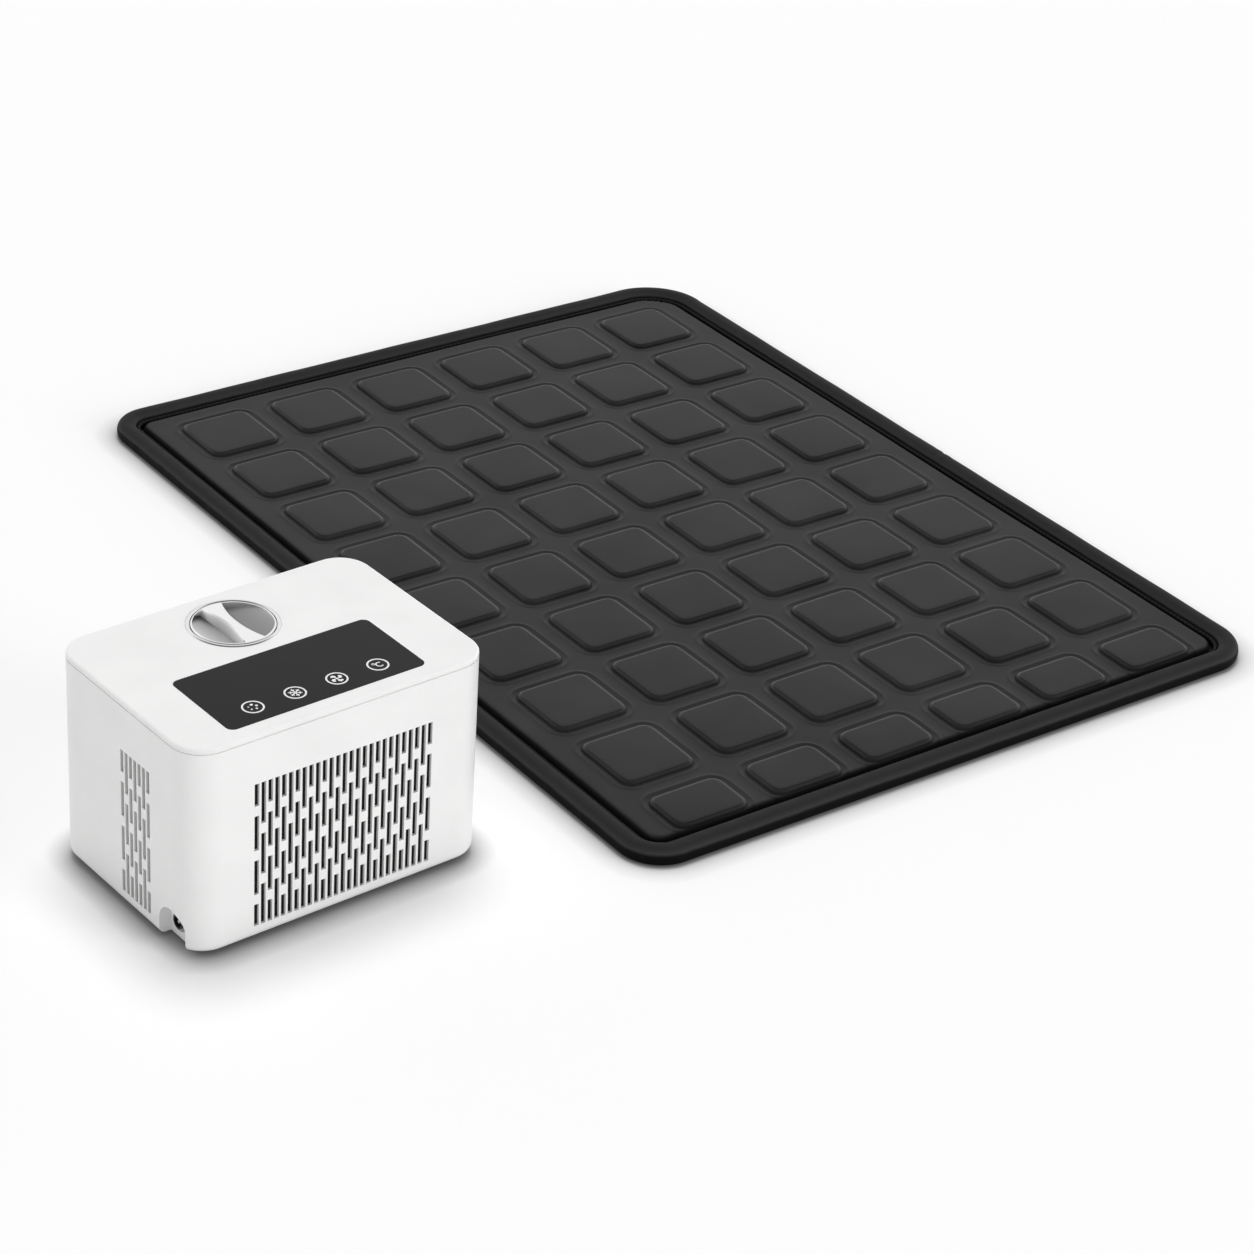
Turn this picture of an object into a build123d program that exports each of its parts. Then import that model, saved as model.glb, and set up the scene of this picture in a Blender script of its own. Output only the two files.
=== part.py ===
"""Heated water pet pad: a padded mat and the free-standing unit that warms and pumps its water.

Millimetres. +X runs along the mat's short side, +Y along its long side, +Z up.
The origin is on the floor under the middle of the mat. The unit is drawn in its own frame,
centred on its footprint with its grille facing -Y, and is then set beside the mat.
"""

from build123d import *
from math import cos, radians, sin
import os

# Mat
MAT_WIDTH = 450.0
MAT_LENGTH = 600.0
FAR_RIGHT_CORNER = 41.0
NEAR_RIGHT_CORNER = 29.0
NEAR_LEFT_CORNER = 26.0
FAR_LEFT_CORNER = 25.0
ROLL_WIDTH = 12.6
ROLL_HEIGHT = 10.4
ROLL_SHOULDER = 4.4
CROWN_SIDES = 7
GROOVE = 4.6
PIPING_INSET = 13.8
PIPING_RADIUS = 1.1
PIPING_HEIGHT = 6.6
BOTTOM_SHEET = 1.2
BLADDER = 2.6
FOAM = 1.6
TOP_SHEET = 2.0
SHEET_BEVEL = 1.6
TILE_COLUMNS = 6
TILE_ROWS = 9
TILE = 49.0
TILE_CORNER_CUT = 4.4
TILE_HEIGHT = 2.4
TILE_TAPER = 42.0
TILE_PITCH_X = 65.9
TILE_PITCH_Y = 64.1
FIRST_ROW_TOP = 265.7
LAST_ROW_DEPTH = 34.0
WELD_LENGTH = 470.0
WELD_WIDTH = 8.0

# Hose gland on the mat's left edge
GLAND_Y = -70.0
GLAND_LENGTH = 52.0
GLAND_REACH = 12.0
GLAND_LOW = 1.6
GLAND_HIGH = 9.4
TONGUE_LENGTH = 44.0
TONGUE_LOW = 1.8
TONGUE_HIGH = 4.6
SPIGOT_HEIGHT = 5.3
SPIGOT_PITCH = 30.0
SPIGOT_RADIUS = 3.6
SPIGOT_BORE = 2.2
SPIGOT_LENGTH = 15.0

# Unit: place and casing
UNIT_X = -380.7
UNIT_Y = -177.3
UNIT_TURN = 3.0
UNIT_WIDTH = 183.0
UNIT_DEPTH = 130.0
UNIT_BOTTOM = 3.0
UNIT_TOP = 124.0
UNIT_CORNER = 18.0
WALL = 2.4
COVER_EDGE = 3.2
COVER_ROUND = 1.6
PART_GROOVE = 0.6
PART_GAP = 0.6
BASE_ROUND = 4.0
PART_LINE = UNIT_TOP - COVER_EDGE
FLOOR = UNIT_BOTTOM + 2.6
HALF_W = UNIT_WIDTH / 2
HALF_D = UNIT_DEPTH / 2
SNAP_X = 50.0
SNAP_WIDTH = 16.0
SNAP_LOW = 108.0
CATCH_LOW = 112.0
FOOT_X = 68.0
FOOT_Y = 42.0
FOOT_RADIUS = 8.0

# Slotted grilles
SLOT_WIDTH = 2.8
SLOT_PITCH = 4.06
SLOT_GAP = 6.0
END_SLOT = 13.0
GRILLE_LOW = 10.3
GRILLE_HIGH = 95.3
GRILLE_SKIN = 1.6
FRONT_COLUMNS = 27
SIDE_COLUMNS = 7
SIDE_GRILLE_Y = -13.4

# Power inlet
JACK_Y = -45.4
JACK_Z = 14.5
NOTCH_RADIUS = 10.4
NOTCH_CENTRE_Z = 13.4
NOTCH_DEPTH = 7.0
NOTCH_WALL = 2.0
JACK_BARREL = 4.0
JACK_HOLE = 3.1
JACK_REACH = 2.8
NUT_RADIUS = 5.8
NUT_THICK = 2.0
NUT_BORE = 4.1

# Touch panel and its board
PANEL_WIDTH = 119.0
PANEL_DEPTH = 55.3
PANEL_X = -2.6
PANEL_Y = -27.5
PANEL_CORNER = 4.2
PANEL_THICK = 1.8
PANEL_PROUD = 0.15
BOARD_TOP = 117.0
BOARD_THICK = 1.6
KEY_PITCH = 25.2
KEY_Y = -42.2

# Filler
FILLER_X = -3.0
FILLER_Y = 33.0
RING_RADIUS = 24.7
RING_BORE = 22.7
RING_PROUD = 0.5
RING_LEDGE_Z = 117.2
NECK_OUTER = 19.3
NECK_INNER = 17.5
CAP_RADIUS = 22.3
CAP_RIM = 1.0
CAP_TOP = UNIT_TOP + 0.4
CAP_DISH = 3.9
CAP_PLUG = 17.1
SEAL_THICK = 1.6
GRIP_END = 6.2
GRIP_WAIST = 2.1
GRIP_FOOT = 7.6

# Tank
TANK_LEFT = -50.0
TANK_RIGHT = 46.0
TANK_FRONT = 5.0
TANK_BACK = 56.0
TANK_LOW = 14.0
TANK_HIGH = 104.0
TANK_WALL = 2.0
LID_THICK = 3.0

# Cooling and heating stack, front to back
STACK_Z = 52.8
FAN_SIZE = 80.0
FAN_THICK = 20.0
FAN_FRONT = -61.3
FAN_BORE = 38.0
FAN_BLADES = 7
BLADE_TIP = 36.0
BLADE_PITCH = 40.0
ROTOR_HUB = 16.0
STRAP = 1.2
STRAP_WIDTH = 12.0
STRAP_HOOK = 4.0
SINK_WIDTH = 100.0
SINK_FRONT = -41.2
SINK_BACK = -14.0
SINK_BASE = 5.0
FIN_COUNT = 16
FIN_THICK = 1.3
MODULE = 30.0
MODULE_THICK = 3.8
BLOCK_WIDTH = 90.0
BLOCK_HEIGHT = 40.0
BLOCK_THICK = 12.0

# Pump
PUMP_Y = 30.0
PUMP_Z = 26.0
VOLUTE_LEFT = 56.0
VOLUTE_RIGHT = 67.0
VOLUTE_RADIUS = 17.0
MOTOR_RIGHT = 86.0
MOTOR_RADIUS = 15.0
IMPELLER_RADIUS = 12.0
PUMP_SHAFT = 1.5
SHAFT_CLEARANCE = 0.05

# Hoses and ports
HOSE_OUTER = 4.5
HOSE_BORE = 2.7
STUB_RADIUS = 2.6
STUB_LENGTH = 5.8
GROMMET_RADIUS = 4.5
WATERWAY = 1.8
SUPPLY_X = -64.5
RETURN_X = -34.5
PORT_Z = 44.0
PUMP_OUTLET_Z = 38.0
PORT_RADIUS = 4.5
PORT_LENGTH = 14.0
PORT_FLANGE = 8.0
PORT_NUT = 3.0

UNIT_AT = Location((UNIT_X, UNIT_Y, 0), (0, 0, UNIT_TURN))


def slab(width, depth, corner, low, high, x=0.0, y=0.0):
    """Upright block with rounded corners between two heights."""
    return Pos(x, y, low) * extrude(RectangleRounded(width, depth, corner), high - low)


def block(x0, x1, y0, y1, z0, z1):
    """Plain box between two opposite corners."""
    return Pos((x0 + x1) / 2, (y0 + y1) / 2, (z0 + z1) / 2) * Box(x1 - x0, y1 - y0, z1 - z0)


def disc(radius, low, high, x=0.0, y=0.0):
    """Upright cylinder between two heights."""
    return Pos(x, y, (low + high) / 2) * Cylinder(radius, high - low)


def rod_x(radius, x0, x1, y, z):
    """Cylinder lying along X."""
    return Pos((x0 + x1) / 2, y, z) * Rot(0, 90, 0) * Cylinder(radius, abs(x1 - x0))


def rod_y(radius, y0, y1, x, z):
    """Cylinder lying along Y."""
    return Pos(x, (y0 + y1) / 2, z) * Rot(90, 0, 0) * Cylinder(radius, abs(y1 - y0))


def corners(x, y):
    """The four places mirrored about both axes."""
    return [(sx * x, sy * y) for sx in (-1, 1) for sy in (-1, 1)]


# Mat

SHEET_INSET = ROLL_WIDTH + GROOVE
SHEET_WIDTH = MAT_WIDTH - 2 * SHEET_INSET
SHEET_LENGTH = MAT_LENGTH - 2 * SHEET_INSET
FOAM_LOW = BOTTOM_SHEET + BLADDER
SHEET_LOW = FOAM_LOW + FOAM
SHEET_HIGH = SHEET_LOW + TOP_SHEET


def mat_outline(inset):
    """Outline of the mat, drawn in by a distance; the far right corner is rounder."""
    outline = Rectangle(MAT_WIDTH - 2 * inset, MAT_LENGTH - 2 * inset)
    radii = {
        (1, 1): FAR_RIGHT_CORNER,
        (1, -1): NEAR_RIGHT_CORNER,
        (-1, -1): NEAR_LEFT_CORNER,
        (-1, 1): FAR_LEFT_CORNER,
    }
    for (side_x, side_y), radius in radii.items():
        at = (side_x * (MAT_WIDTH / 2 - inset), side_y * (MAT_LENGTH / 2 - inset))
        corner = outline.vertices().sort_by_distance(at)[0]
        outline = fillet(corner, radius - inset)
    return outline


def mat_layer(inset, low, high):
    """Flat layer of the mat between two heights."""
    return Pos(0, 0, low) * extrude(mat_outline(inset), high - low)


def mat_bottom_sheet():
    """Non-slip sheet that lies on the floor."""
    return mat_layer(ROLL_WIDTH, 0, BOTTOM_SHEET)


def mat_water_bladder():
    """Water bag with welded strips from alternate ends, so that the water winds through it."""
    bag = mat_layer(SHEET_INSET, BOTTOM_SHEET, FOAM_LOW)
    shift = (SHEET_LENGTH - WELD_LENGTH) / 2 - 2 * WELD_WIDTH
    weld = block(
        -WELD_WIDTH / 2, WELD_WIDTH / 2, -WELD_LENGTH / 2, WELD_LENGTH / 2, BOTTOM_SHEET, FOAM_LOW
    )
    welds = []
    for i in range(1, TILE_COLUMNS):
        x = (i - TILE_COLUMNS / 2) * TILE_PITCH_X
        welds.append(Pos(x, shift if i % 2 else -shift, 0) * weld)
    return bag - welds


def mat_foam_layer():
    """Foam that spreads the pet's weight over the bladder."""
    return mat_layer(SHEET_INSET, FOAM_LOW, SHEET_LOW)


def tile(depth):
    """Raised square with cut corners and sloping sides."""
    outline = chamfer(Rectangle(TILE, depth).vertices(), TILE_CORNER_CUT)
    return extrude(outline, TILE_HEIGHT, taper=TILE_TAPER)


def mat_top_sheet():
    """Padded cover sheet with rows of raised squares; the border cuts the nearest row short."""
    sheet = mat_layer(SHEET_INSET, SHEET_LOW, SHEET_HIGH)
    sheet = chamfer(sheet.faces().sort_by(Axis.Z)[-1].outer_wire().edges(), SHEET_BEVEL)
    tiles = []
    for row in range(TILE_ROWS):
        depth = LAST_ROW_DEPTH if row == TILE_ROWS - 1 else TILE
        y = FIRST_ROW_TOP - row * TILE_PITCH_Y - depth / 2
        for column in range(TILE_COLUMNS):
            x = (column - (TILE_COLUMNS - 1) / 2) * TILE_PITCH_X
            tiles.append(Pos(x, y, SHEET_HIGH) * tile(depth))
    return sheet + tiles


def mat_edge_piping():
    """Thin piping in the groove between the roll and the sheet, where the layers are sewn."""
    outer = mat_layer(PIPING_INSET - PIPING_RADIUS, BOTTOM_SHEET, PIPING_HEIGHT)
    inner = mat_layer(PIPING_INSET + PIPING_RADIUS, BOTTOM_SHEET, PIPING_HEIGHT)
    return outer - inner - gland_tongue()


def gland_tongue():
    """Flat neck of the hose gland that passes under the roll to the bladder."""
    left = -MAT_WIDTH / 2 - 1
    right = -SHEET_WIDTH / 2 - 0.5
    half = TONGUE_LENGTH / 2
    return block(left, right, GLAND_Y - half, GLAND_Y + half, TONGUE_LOW, TONGUE_HIGH)


def mat_edge_roll():
    """Padded roll bound round the whole edge, flat below and round above."""
    half = ROLL_WIDTH / 2
    rise = ROLL_HEIGHT - ROLL_SHOULDER
    crown = []
    for i in range(CROWN_SIDES + 1):
        angle = radians(180 * i / CROWN_SIDES)
        crown.append((half * cos(angle), ROLL_SHOULDER + rise * sin(angle)))
    path = mat_outline(half).wire()
    along = path % 0
    start = Plane(origin=path @ 0, x_dir=Vector(0, 0, 1).cross(along), z_dir=along)
    section = make_face(Polyline((half, 0), *crown, (-half, 0), close=True))
    return sweep(start * section, path=path) - gland_tongue()


def spigot_rows():
    """The two places of the mat's hose spigots along Y."""
    return (GLAND_Y - SPIGOT_PITCH / 2, GLAND_Y + SPIGOT_PITCH / 2)


def mat_hose_gland():
    """Moulded gland that brings both hoses into the mat."""
    left = -MAT_WIDTH / 2 - GLAND_REACH
    half = GLAND_LENGTH / 2
    body = block(left, -MAT_WIDTH / 2 - 0.1, GLAND_Y - half, GLAND_Y + half, GLAND_LOW, GLAND_HIGH)
    body = fillet(body.edges().filter_by(Axis.Z).sort_by(Axis.X)[:2], 4)
    return body + gland_tongue()


def mat_hose_spigots():
    """Two tubes on the gland's end that a hose pushes onto."""
    left = -MAT_WIDTH / 2 - GLAND_REACH
    tubes = []
    for y in spigot_rows():
        tube = rod_x(SPIGOT_RADIUS, left - SPIGOT_LENGTH, left, y, SPIGOT_HEIGHT)
        bore = rod_x(SPIGOT_BORE, left - SPIGOT_LENGTH - 1, left + 1, y, SPIGOT_HEIGHT)
        tubes.append(tube - bore)
    return Compound(children=tubes)


# Unit casing


def slot_column(ends_short):
    """(height of middle, length) of each slot in a column; columns alternate."""
    height = GRILLE_HIGH - GRILLE_LOW
    if ends_short:
        long_slot = (height - 2 * END_SLOT - 3 * SLOT_GAP) / 2
        lengths = [END_SLOT, long_slot, long_slot, END_SLOT]
    else:
        lengths = [(height - 2 * SLOT_GAP) / 3] * 3
    low = GRILLE_LOW
    slots = []
    for length in lengths:
        slots.append((low + length / 2, length))
        low += length + SLOT_GAP
    return slots


def grille_cut(columns, middle, plane):
    """Every slot of one grille, as cutters through the wall."""
    slots = Sketch()
    for column in range(columns):
        x = middle + (column - (columns - 1) / 2) * SLOT_PITCH
        slots += [Pos(x, z) * Rectangle(SLOT_WIDTH, length) for z, length in slot_column(column % 2 == 0)]
    return extrude(plane * slots, 4, both=True)


def grille_pocket(columns, margin=3.0):
    """Half the width of the thinned wall behind a grille."""
    return columns * SLOT_PITCH / 2 + margin


def notch_arch(radius, x0, x1):
    """Arch, open at the bottom, along X through the left wall."""
    arch = rod_x(radius, x0, x1, JACK_Y, NOTCH_CENTRE_Z)
    return arch + block(x0, x1, JACK_Y - radius, JACK_Y + radius, 0, NOTCH_CENTRE_Z)


def housing_outside():
    """Outer form of the tub, rounded towards the floor."""
    body = slab(UNIT_WIDTH, UNIT_DEPTH, UNIT_CORNER, UNIT_BOTTOM, PART_LINE)
    return fillet(body.faces().sort_by(Axis.Z)[0].edges(), BASE_ROUND)


def housing_inside():
    """Space inside the tub, deeper behind the grilles, where the wall is thinner."""
    inner_corner = UNIT_CORNER - WALL
    space = slab(UNIT_WIDTH - 2 * WALL, UNIT_DEPTH - 2 * WALL, inner_corner, FLOOR, UNIT_TOP)
    low = GRILLE_LOW - 2
    high = GRILLE_HIGH + 2
    front = grille_pocket(FRONT_COLUMNS)
    space += block(-front, front, GRILLE_SKIN - HALF_D, 3 - HALF_D, low, high)
    reach = HALF_W - GRILLE_SKIN
    side = grille_pocket(SIDE_COLUMNS)
    return space + block(-reach, reach, SIDE_GRILLE_Y - side, SIDE_GRILLE_Y + side, low, high)


def housing_supports():
    """Ribs that carry the fan, heat sink and tank, and ribs that catch the cover's arms."""
    ribs = []
    for x in (-30, 30):
        ribs.append(block(x - 1.5, x + 1.5, -60, SINK_BACK, FLOOR, STACK_Z - FAN_SIZE / 2))
    for x in (-35, 32):
        ribs.append(block(x - 1.5, x + 1.5, TANK_FRONT + 3, TANK_BACK - 3, FLOOR, TANK_LOW))
    half = SNAP_WIDTH / 2
    inner = HALF_D - WALL
    catch = block(-half, half, inner - 1.2, inner, CATCH_LOW, CATCH_LOW + 1.5)
    return ribs + snap_places(catch)


def snap_places(shape):
    """Copies of a shape on the back wall at the four snaps, two on each long wall."""
    return [Pos(x, 0, 0) * Rot(0, 0, turn) * shape for x in (-SNAP_X, SNAP_X) for turn in (0, 180)]


def housing():
    """One-piece moulded tub with slotted grilles, a power notch and two hose holes."""
    outside = housing_outside()
    outer = -HALF_W
    inner = outer + NOTCH_DEPTH + NOTCH_WALL
    body = outside - housing_inside() + housing_supports()
    body += notch_arch(NOTCH_RADIUS + NOTCH_WALL, outer, inner) & outside
    body -= notch_arch(NOTCH_RADIUS, outer - 1, outer + NOTCH_DEPTH)
    body -= rod_x(JACK_BARREL + 0.1, outer, inner + 1, JACK_Y, JACK_Z)
    front = Plane(origin=(0, -HALF_D, 0), x_dir=(1, 0, 0), z_dir=(0, -1, 0))
    left = Plane(origin=(-HALF_W, 0, 0), x_dir=(0, -1, 0), z_dir=(-1, 0, 0))
    right = Plane(origin=(HALF_W, 0, 0), x_dir=(0, 1, 0), z_dir=(1, 0, 0))
    body -= grille_cut(FRONT_COLUMNS, 0, front)
    body -= grille_cut(SIDE_COLUMNS, -SIDE_GRILLE_Y, left)
    body -= grille_cut(SIDE_COLUMNS, SIDE_GRILLE_Y, right)
    for x in (SUPPLY_X, RETURN_X):
        body -= rod_y(PORT_RADIUS + 1.1, HALF_D - 5, HALF_D + 1, x, PORT_Z)
    return body


def rubber_feet():
    """Four round feet stuck under the base."""
    feet = []
    for x, y in corners(FOOT_X, FOOT_Y):
        feet.append(disc(FOOT_RADIUS, 0, UNIT_BOTTOM, x, y))
    return Compound(children=feet)


def cover_lip():
    """Low wall that locates the cover inside the tub."""
    gap = WALL + 0.2
    thick = 1.6
    low = PART_LINE - 3
    outer = slab(UNIT_WIDTH - 2 * gap, UNIT_DEPTH - 2 * gap, UNIT_CORNER - gap, low, PART_LINE)
    gap += thick
    return outer - slab(
        UNIT_WIDTH - 2 * gap, UNIT_DEPTH - 2 * gap, UNIT_CORNER - gap, low, PART_LINE
    )


def snap_arm():
    """Flat arm at the back wall, with a barb that catches under the tub's rib."""
    half = SNAP_WIDTH / 2
    inner = HALF_D - WALL
    arm = block(-half, half, inner - 2.8, inner - 1.4, SNAP_LOW, PART_LINE)
    return arm + block(-half, half, inner - 1.4, inner - 0.3, CATCH_LOW - 2, CATCH_LOW - 0.1)


def top_cover():
    """Lid with a locating lip, snap arms, a recess for the panel and a hole for the filler."""
    edge = PART_LINE + PART_GAP
    cover = slab(UNIT_WIDTH, UNIT_DEPTH, UNIT_CORNER, edge, UNIT_TOP)
    cover = fillet(cover.faces().sort_by(Axis.Z)[-1].edges(), COVER_ROUND)
    cover += slab(
        UNIT_WIDTH - 2 * PART_GROOVE,
        UNIT_DEPTH - 2 * PART_GROOVE,
        UNIT_CORNER - PART_GROOVE,
        PART_LINE,
        edge,
    )
    cover += [cover_lip(), *snap_places(snap_arm())]
    cover -= slab(
        PANEL_WIDTH + 0.3,
        PANEL_DEPTH + 0.3,
        PANEL_CORNER + 0.15,
        UNIT_TOP + PANEL_PROUD - PANEL_THICK,
        UNIT_TOP + 1,
        PANEL_X,
        PANEL_Y,
    )
    window_x = PANEL_WIDTH / 2 - 8
    window_y = PANEL_DEPTH / 2 - 7
    left = PANEL_X - window_x
    right = PANEL_X + window_x
    cover -= block(left, right, PANEL_Y - window_y, PANEL_Y + window_y, PART_LINE - 1, UNIT_TOP)
    cover -= disc(RING_RADIUS + 0.1, PART_LINE - 1, UNIT_TOP + 1, FILLER_X, FILLER_Y)
    post = block(-2.5, 2.5, -2.5, 2.5, BOARD_TOP, PART_LINE)
    for x, y in corners(PANEL_WIDTH / 2 - 4.5, PANEL_DEPTH / 2 - 4.2):
        cover += Pos(PANEL_X + x, PANEL_Y + y, 0) * post
    return cover


def touch_panel():
    """Black glossy panel let into the cover."""
    top = UNIT_TOP + PANEL_PROUD
    return slab(PANEL_WIDTH, PANEL_DEPTH, PANEL_CORNER, top - PANEL_THICK, top, PANEL_X, PANEL_Y)


def control_board():
    """Display and touch board on the cover's posts, with its sensor pads under the panel."""
    low = BOARD_TOP - BOARD_THICK
    half_x = PANEL_WIDTH / 2 - 1.5
    half_y = PANEL_DEPTH / 2 - 1.5
    board = block(-half_x, half_x, -half_y, half_y, low, BOARD_TOP)
    under_panel = UNIT_TOP + PANEL_PROUD - PANEL_THICK
    pad = block(-3.5, 3.5, -3.5, 3.5, BOARD_TOP, under_panel)
    for i in range(4):
        board += Pos((i - 1.5) * KEY_PITCH, KEY_Y - PANEL_Y, 0) * pad
    board += block(-24, 24, 0, 16, BOARD_TOP, under_panel - 1)
    return Pos(PANEL_X, PANEL_Y, 0) * board


# Filler


def turned(points, x, y):
    """Solid of revolution about an upright axis from (radius, height) points."""
    profile = make_face(Polyline(*[(r, 0, z) for r, z in points], close=True))
    return Pos(x, y, 0) * revolve(profile, Axis.Z)


def filler_ring():
    """Bright ring round the filler, with the ledge that the seal lies on."""
    top = UNIT_TOP + RING_PROUD
    points = [
        (NECK_OUTER + 0.2, RING_LEDGE_Z - 1.6),
        (RING_RADIUS, RING_LEDGE_Z - 1.6),
        (RING_RADIUS, top - 0.5),
        (RING_RADIUS - 0.6, top),
        (RING_BORE + 0.5, top),
        (RING_BORE, top - 0.5),
        (RING_BORE, RING_LEDGE_Z),
        (NECK_OUTER + 0.2, RING_LEDGE_Z),
    ]
    return turned(points, FILLER_X, FILLER_Y)


def cap_seal():
    """Flat rubber ring between the cap and the filler's ledge."""
    high = RING_LEDGE_Z + SEAL_THICK
    seal = disc(CAP_RADIUS - 0.1, RING_LEDGE_Z, high, FILLER_X, FILLER_Y)
    return seal - disc(CAP_PLUG + 0.5, RING_LEDGE_Z - 1, high + 1, FILLER_X, FILLER_Y)


def grip_outline(end, waist, reach):
    """Hourglass outline, wide at both ends and narrow in the middle."""
    right = ThreePointArc((end, -reach), (waist, 0), (end, reach))
    back = Line((end, reach), (-end, reach))
    left = ThreePointArc((-end, reach), (-waist, 0), (-end, -reach))
    front = Line((-end, -reach), (end, -reach))
    return make_face(Curve() + [right, back, left, front])


def filler_cap():
    """Round cap, dished on both sides of an hourglass grip, with a plug that enters the neck."""
    low = RING_LEDGE_Z + SEAL_THICK
    cap = disc(CAP_RADIUS, low, CAP_TOP)
    cap = chamfer(cap.edges().sort_by(Axis.Z)[-1], 0.4)
    reach = CAP_RADIUS - CAP_RIM
    shallow = 0.7
    sweep_radius = (reach**2 + (CAP_DISH - shallow) ** 2) / (2 * (CAP_DISH - shallow))
    dish = rod_y(sweep_radius, -30, 30, 0, CAP_TOP - CAP_DISH + sweep_radius)
    cap -= dish & disc(reach, low, CAP_TOP + 1)
    foot = Pos(0, 0, CAP_TOP - CAP_DISH) * grip_outline(GRIP_FOOT, GRIP_FOOT - 0.4, reach)
    crest = Pos(0, 0, CAP_TOP) * grip_outline(GRIP_END, GRIP_WAIST, reach)
    grip = loft([foot, crest], ruled=True)
    cap += grip & disc(reach + 0.2, low, CAP_TOP)
    cap += disc(CAP_PLUG, low - 6, low) - disc(CAP_PLUG - 2, low - 7, low - 1)
    return Pos(FILLER_X, FILLER_Y, 0) * cap


# Tank


def tank_block(inset, low, high):
    """Block over the tank's outline, drawn in by a distance."""
    return block(
        TANK_LEFT + inset, TANK_RIGHT - inset, TANK_FRONT + inset, TANK_BACK - inset, low, high
    )


def water_tank():
    """Open-topped tank with a pump outlet on the right and a return hole at the back."""
    tank = tank_block(0, TANK_LOW, TANK_HIGH)
    tank -= tank_block(TANK_WALL, TANK_LOW + TANK_WALL, TANK_HIGH + 1)
    tank += rod_x(6.5, TANK_RIGHT - 1, TANK_RIGHT + 5, PUMP_Y, PUMP_Z)
    tank -= rod_x(4.6, TANK_RIGHT - 5, TANK_RIGHT + 6, PUMP_Y, PUMP_Z)
    return tank - rod_y(GROMMET_RADIUS + 0.1, TANK_BACK - 5, TANK_BACK + 1, RETURN_X, PORT_Z)


def tank_grommet():
    """Rubber grommet that seals the return port's stub in the tank's back wall."""
    inside = TANK_BACK - TANK_WALL
    outside = TANK_BACK + 1.5
    grommet = rod_y(GROMMET_RADIUS, inside, TANK_BACK, RETURN_X, PORT_Z)
    grommet += rod_y(GROMMET_RADIUS + 1.5, TANK_BACK, outside, RETURN_X, PORT_Z)
    return grommet - rod_y(STUB_RADIUS + 0.1, inside - 1, outside + 1, RETURN_X, PORT_Z)


def tank_lid():
    """Lid welded on the tank, with the neck that rises to the filler ring."""
    lid = tank_block(0, TANK_HIGH, TANK_HIGH + LID_THICK)
    lid += disc(NECK_OUTER, TANK_HIGH, RING_LEDGE_Z, FILLER_X, FILLER_Y)
    return lid - disc(NECK_INNER, TANK_HIGH - 1, UNIT_TOP, FILLER_X, FILLER_Y)


# Pump

OUTLET_X = (VOLUTE_LEFT + VOLUTE_RIGHT) / 2
OUTLET_Y = PUMP_Y - 16


def pump_volute():
    """Front half of the pump: inlet into the tank, impeller chamber and outlet."""
    body = rod_x(VOLUTE_RADIUS, VOLUTE_LEFT, VOLUTE_RIGHT, PUMP_Y, PUMP_Z)
    body += block(VOLUTE_LEFT, VOLUTE_RIGHT, PUMP_Y - 12, PUMP_Y + 12, FLOOR, PUMP_Z)
    body += rod_x(4.5, TANK_RIGHT - TANK_WALL, VOLUTE_LEFT, PUMP_Y, PUMP_Z)
    body += rod_y(4.5, OUTLET_Y, PUMP_Y, OUTLET_X, PUMP_OUTLET_Z)
    body += rod_y(STUB_RADIUS, OUTLET_Y - STUB_LENGTH, OUTLET_Y, OUTLET_X, PUMP_OUTLET_Z)
    body -= rod_x(IMPELLER_RADIUS + 1, VOLUTE_LEFT + 2, VOLUTE_RIGHT + 1, PUMP_Y, PUMP_Z)
    body -= rod_x(3, TANK_RIGHT - 5, VOLUTE_LEFT + 3, PUMP_Y, PUMP_Z)
    return body - rod_y(WATERWAY, OUTLET_Y - STUB_LENGTH - 1, PUMP_Y, OUTLET_X, PUMP_OUTLET_Z)


def pump_motor():
    """Sealed motor half of the pump."""
    can = rod_x(MOTOR_RADIUS, VOLUTE_RIGHT, MOTOR_RIGHT, PUMP_Y, PUMP_Z)
    can += block(VOLUTE_RIGHT, MOTOR_RIGHT - 6, PUMP_Y - 10, PUMP_Y + 10, FLOOR, PUMP_Z - 10)
    return can - rod_x(PUMP_SHAFT, VOLUTE_RIGHT - 1, VOLUTE_RIGHT + 4, PUMP_Y, PUMP_Z)


def pump_shaft():
    """Fixed ceramic shaft that the impeller turns on."""
    return rod_x(PUMP_SHAFT, VOLUTE_LEFT + 4, VOLUTE_RIGHT + 4, PUMP_Y, PUMP_Z)


def pump_impeller():
    """Disc with six vanes on a bored hub."""
    left = VOLUTE_LEFT + 3.5
    right = VOLUTE_RIGHT - 0.5
    wheel = rod_x(IMPELLER_RADIUS, right - 1.5, right, PUMP_Y, PUMP_Z)
    wheel += rod_x(4, left, right, PUMP_Y, PUMP_Z)
    vane = block(left + 0.5, right - 1.5, -0.6, 0.6, 3, IMPELLER_RADIUS - 0.3)
    for i in range(6):
        wheel += Pos(0, PUMP_Y, PUMP_Z) * Rot(60 * i, 0, 0) * vane
    bore = PUMP_SHAFT + SHAFT_CLEARANCE
    return wheel - rod_x(bore, left - 1, right + 1, PUMP_Y, PUMP_Z)


# Cooling and heating stack

BLOCK_FRONT = SINK_BACK + MODULE_THICK
BLOCK_BACK = BLOCK_FRONT + BLOCK_THICK
BLOCK_LOW = STACK_Z - BLOCK_HEIGHT / 2
BLOCK_HIGH = STACK_Z + BLOCK_HEIGHT / 2


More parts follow.
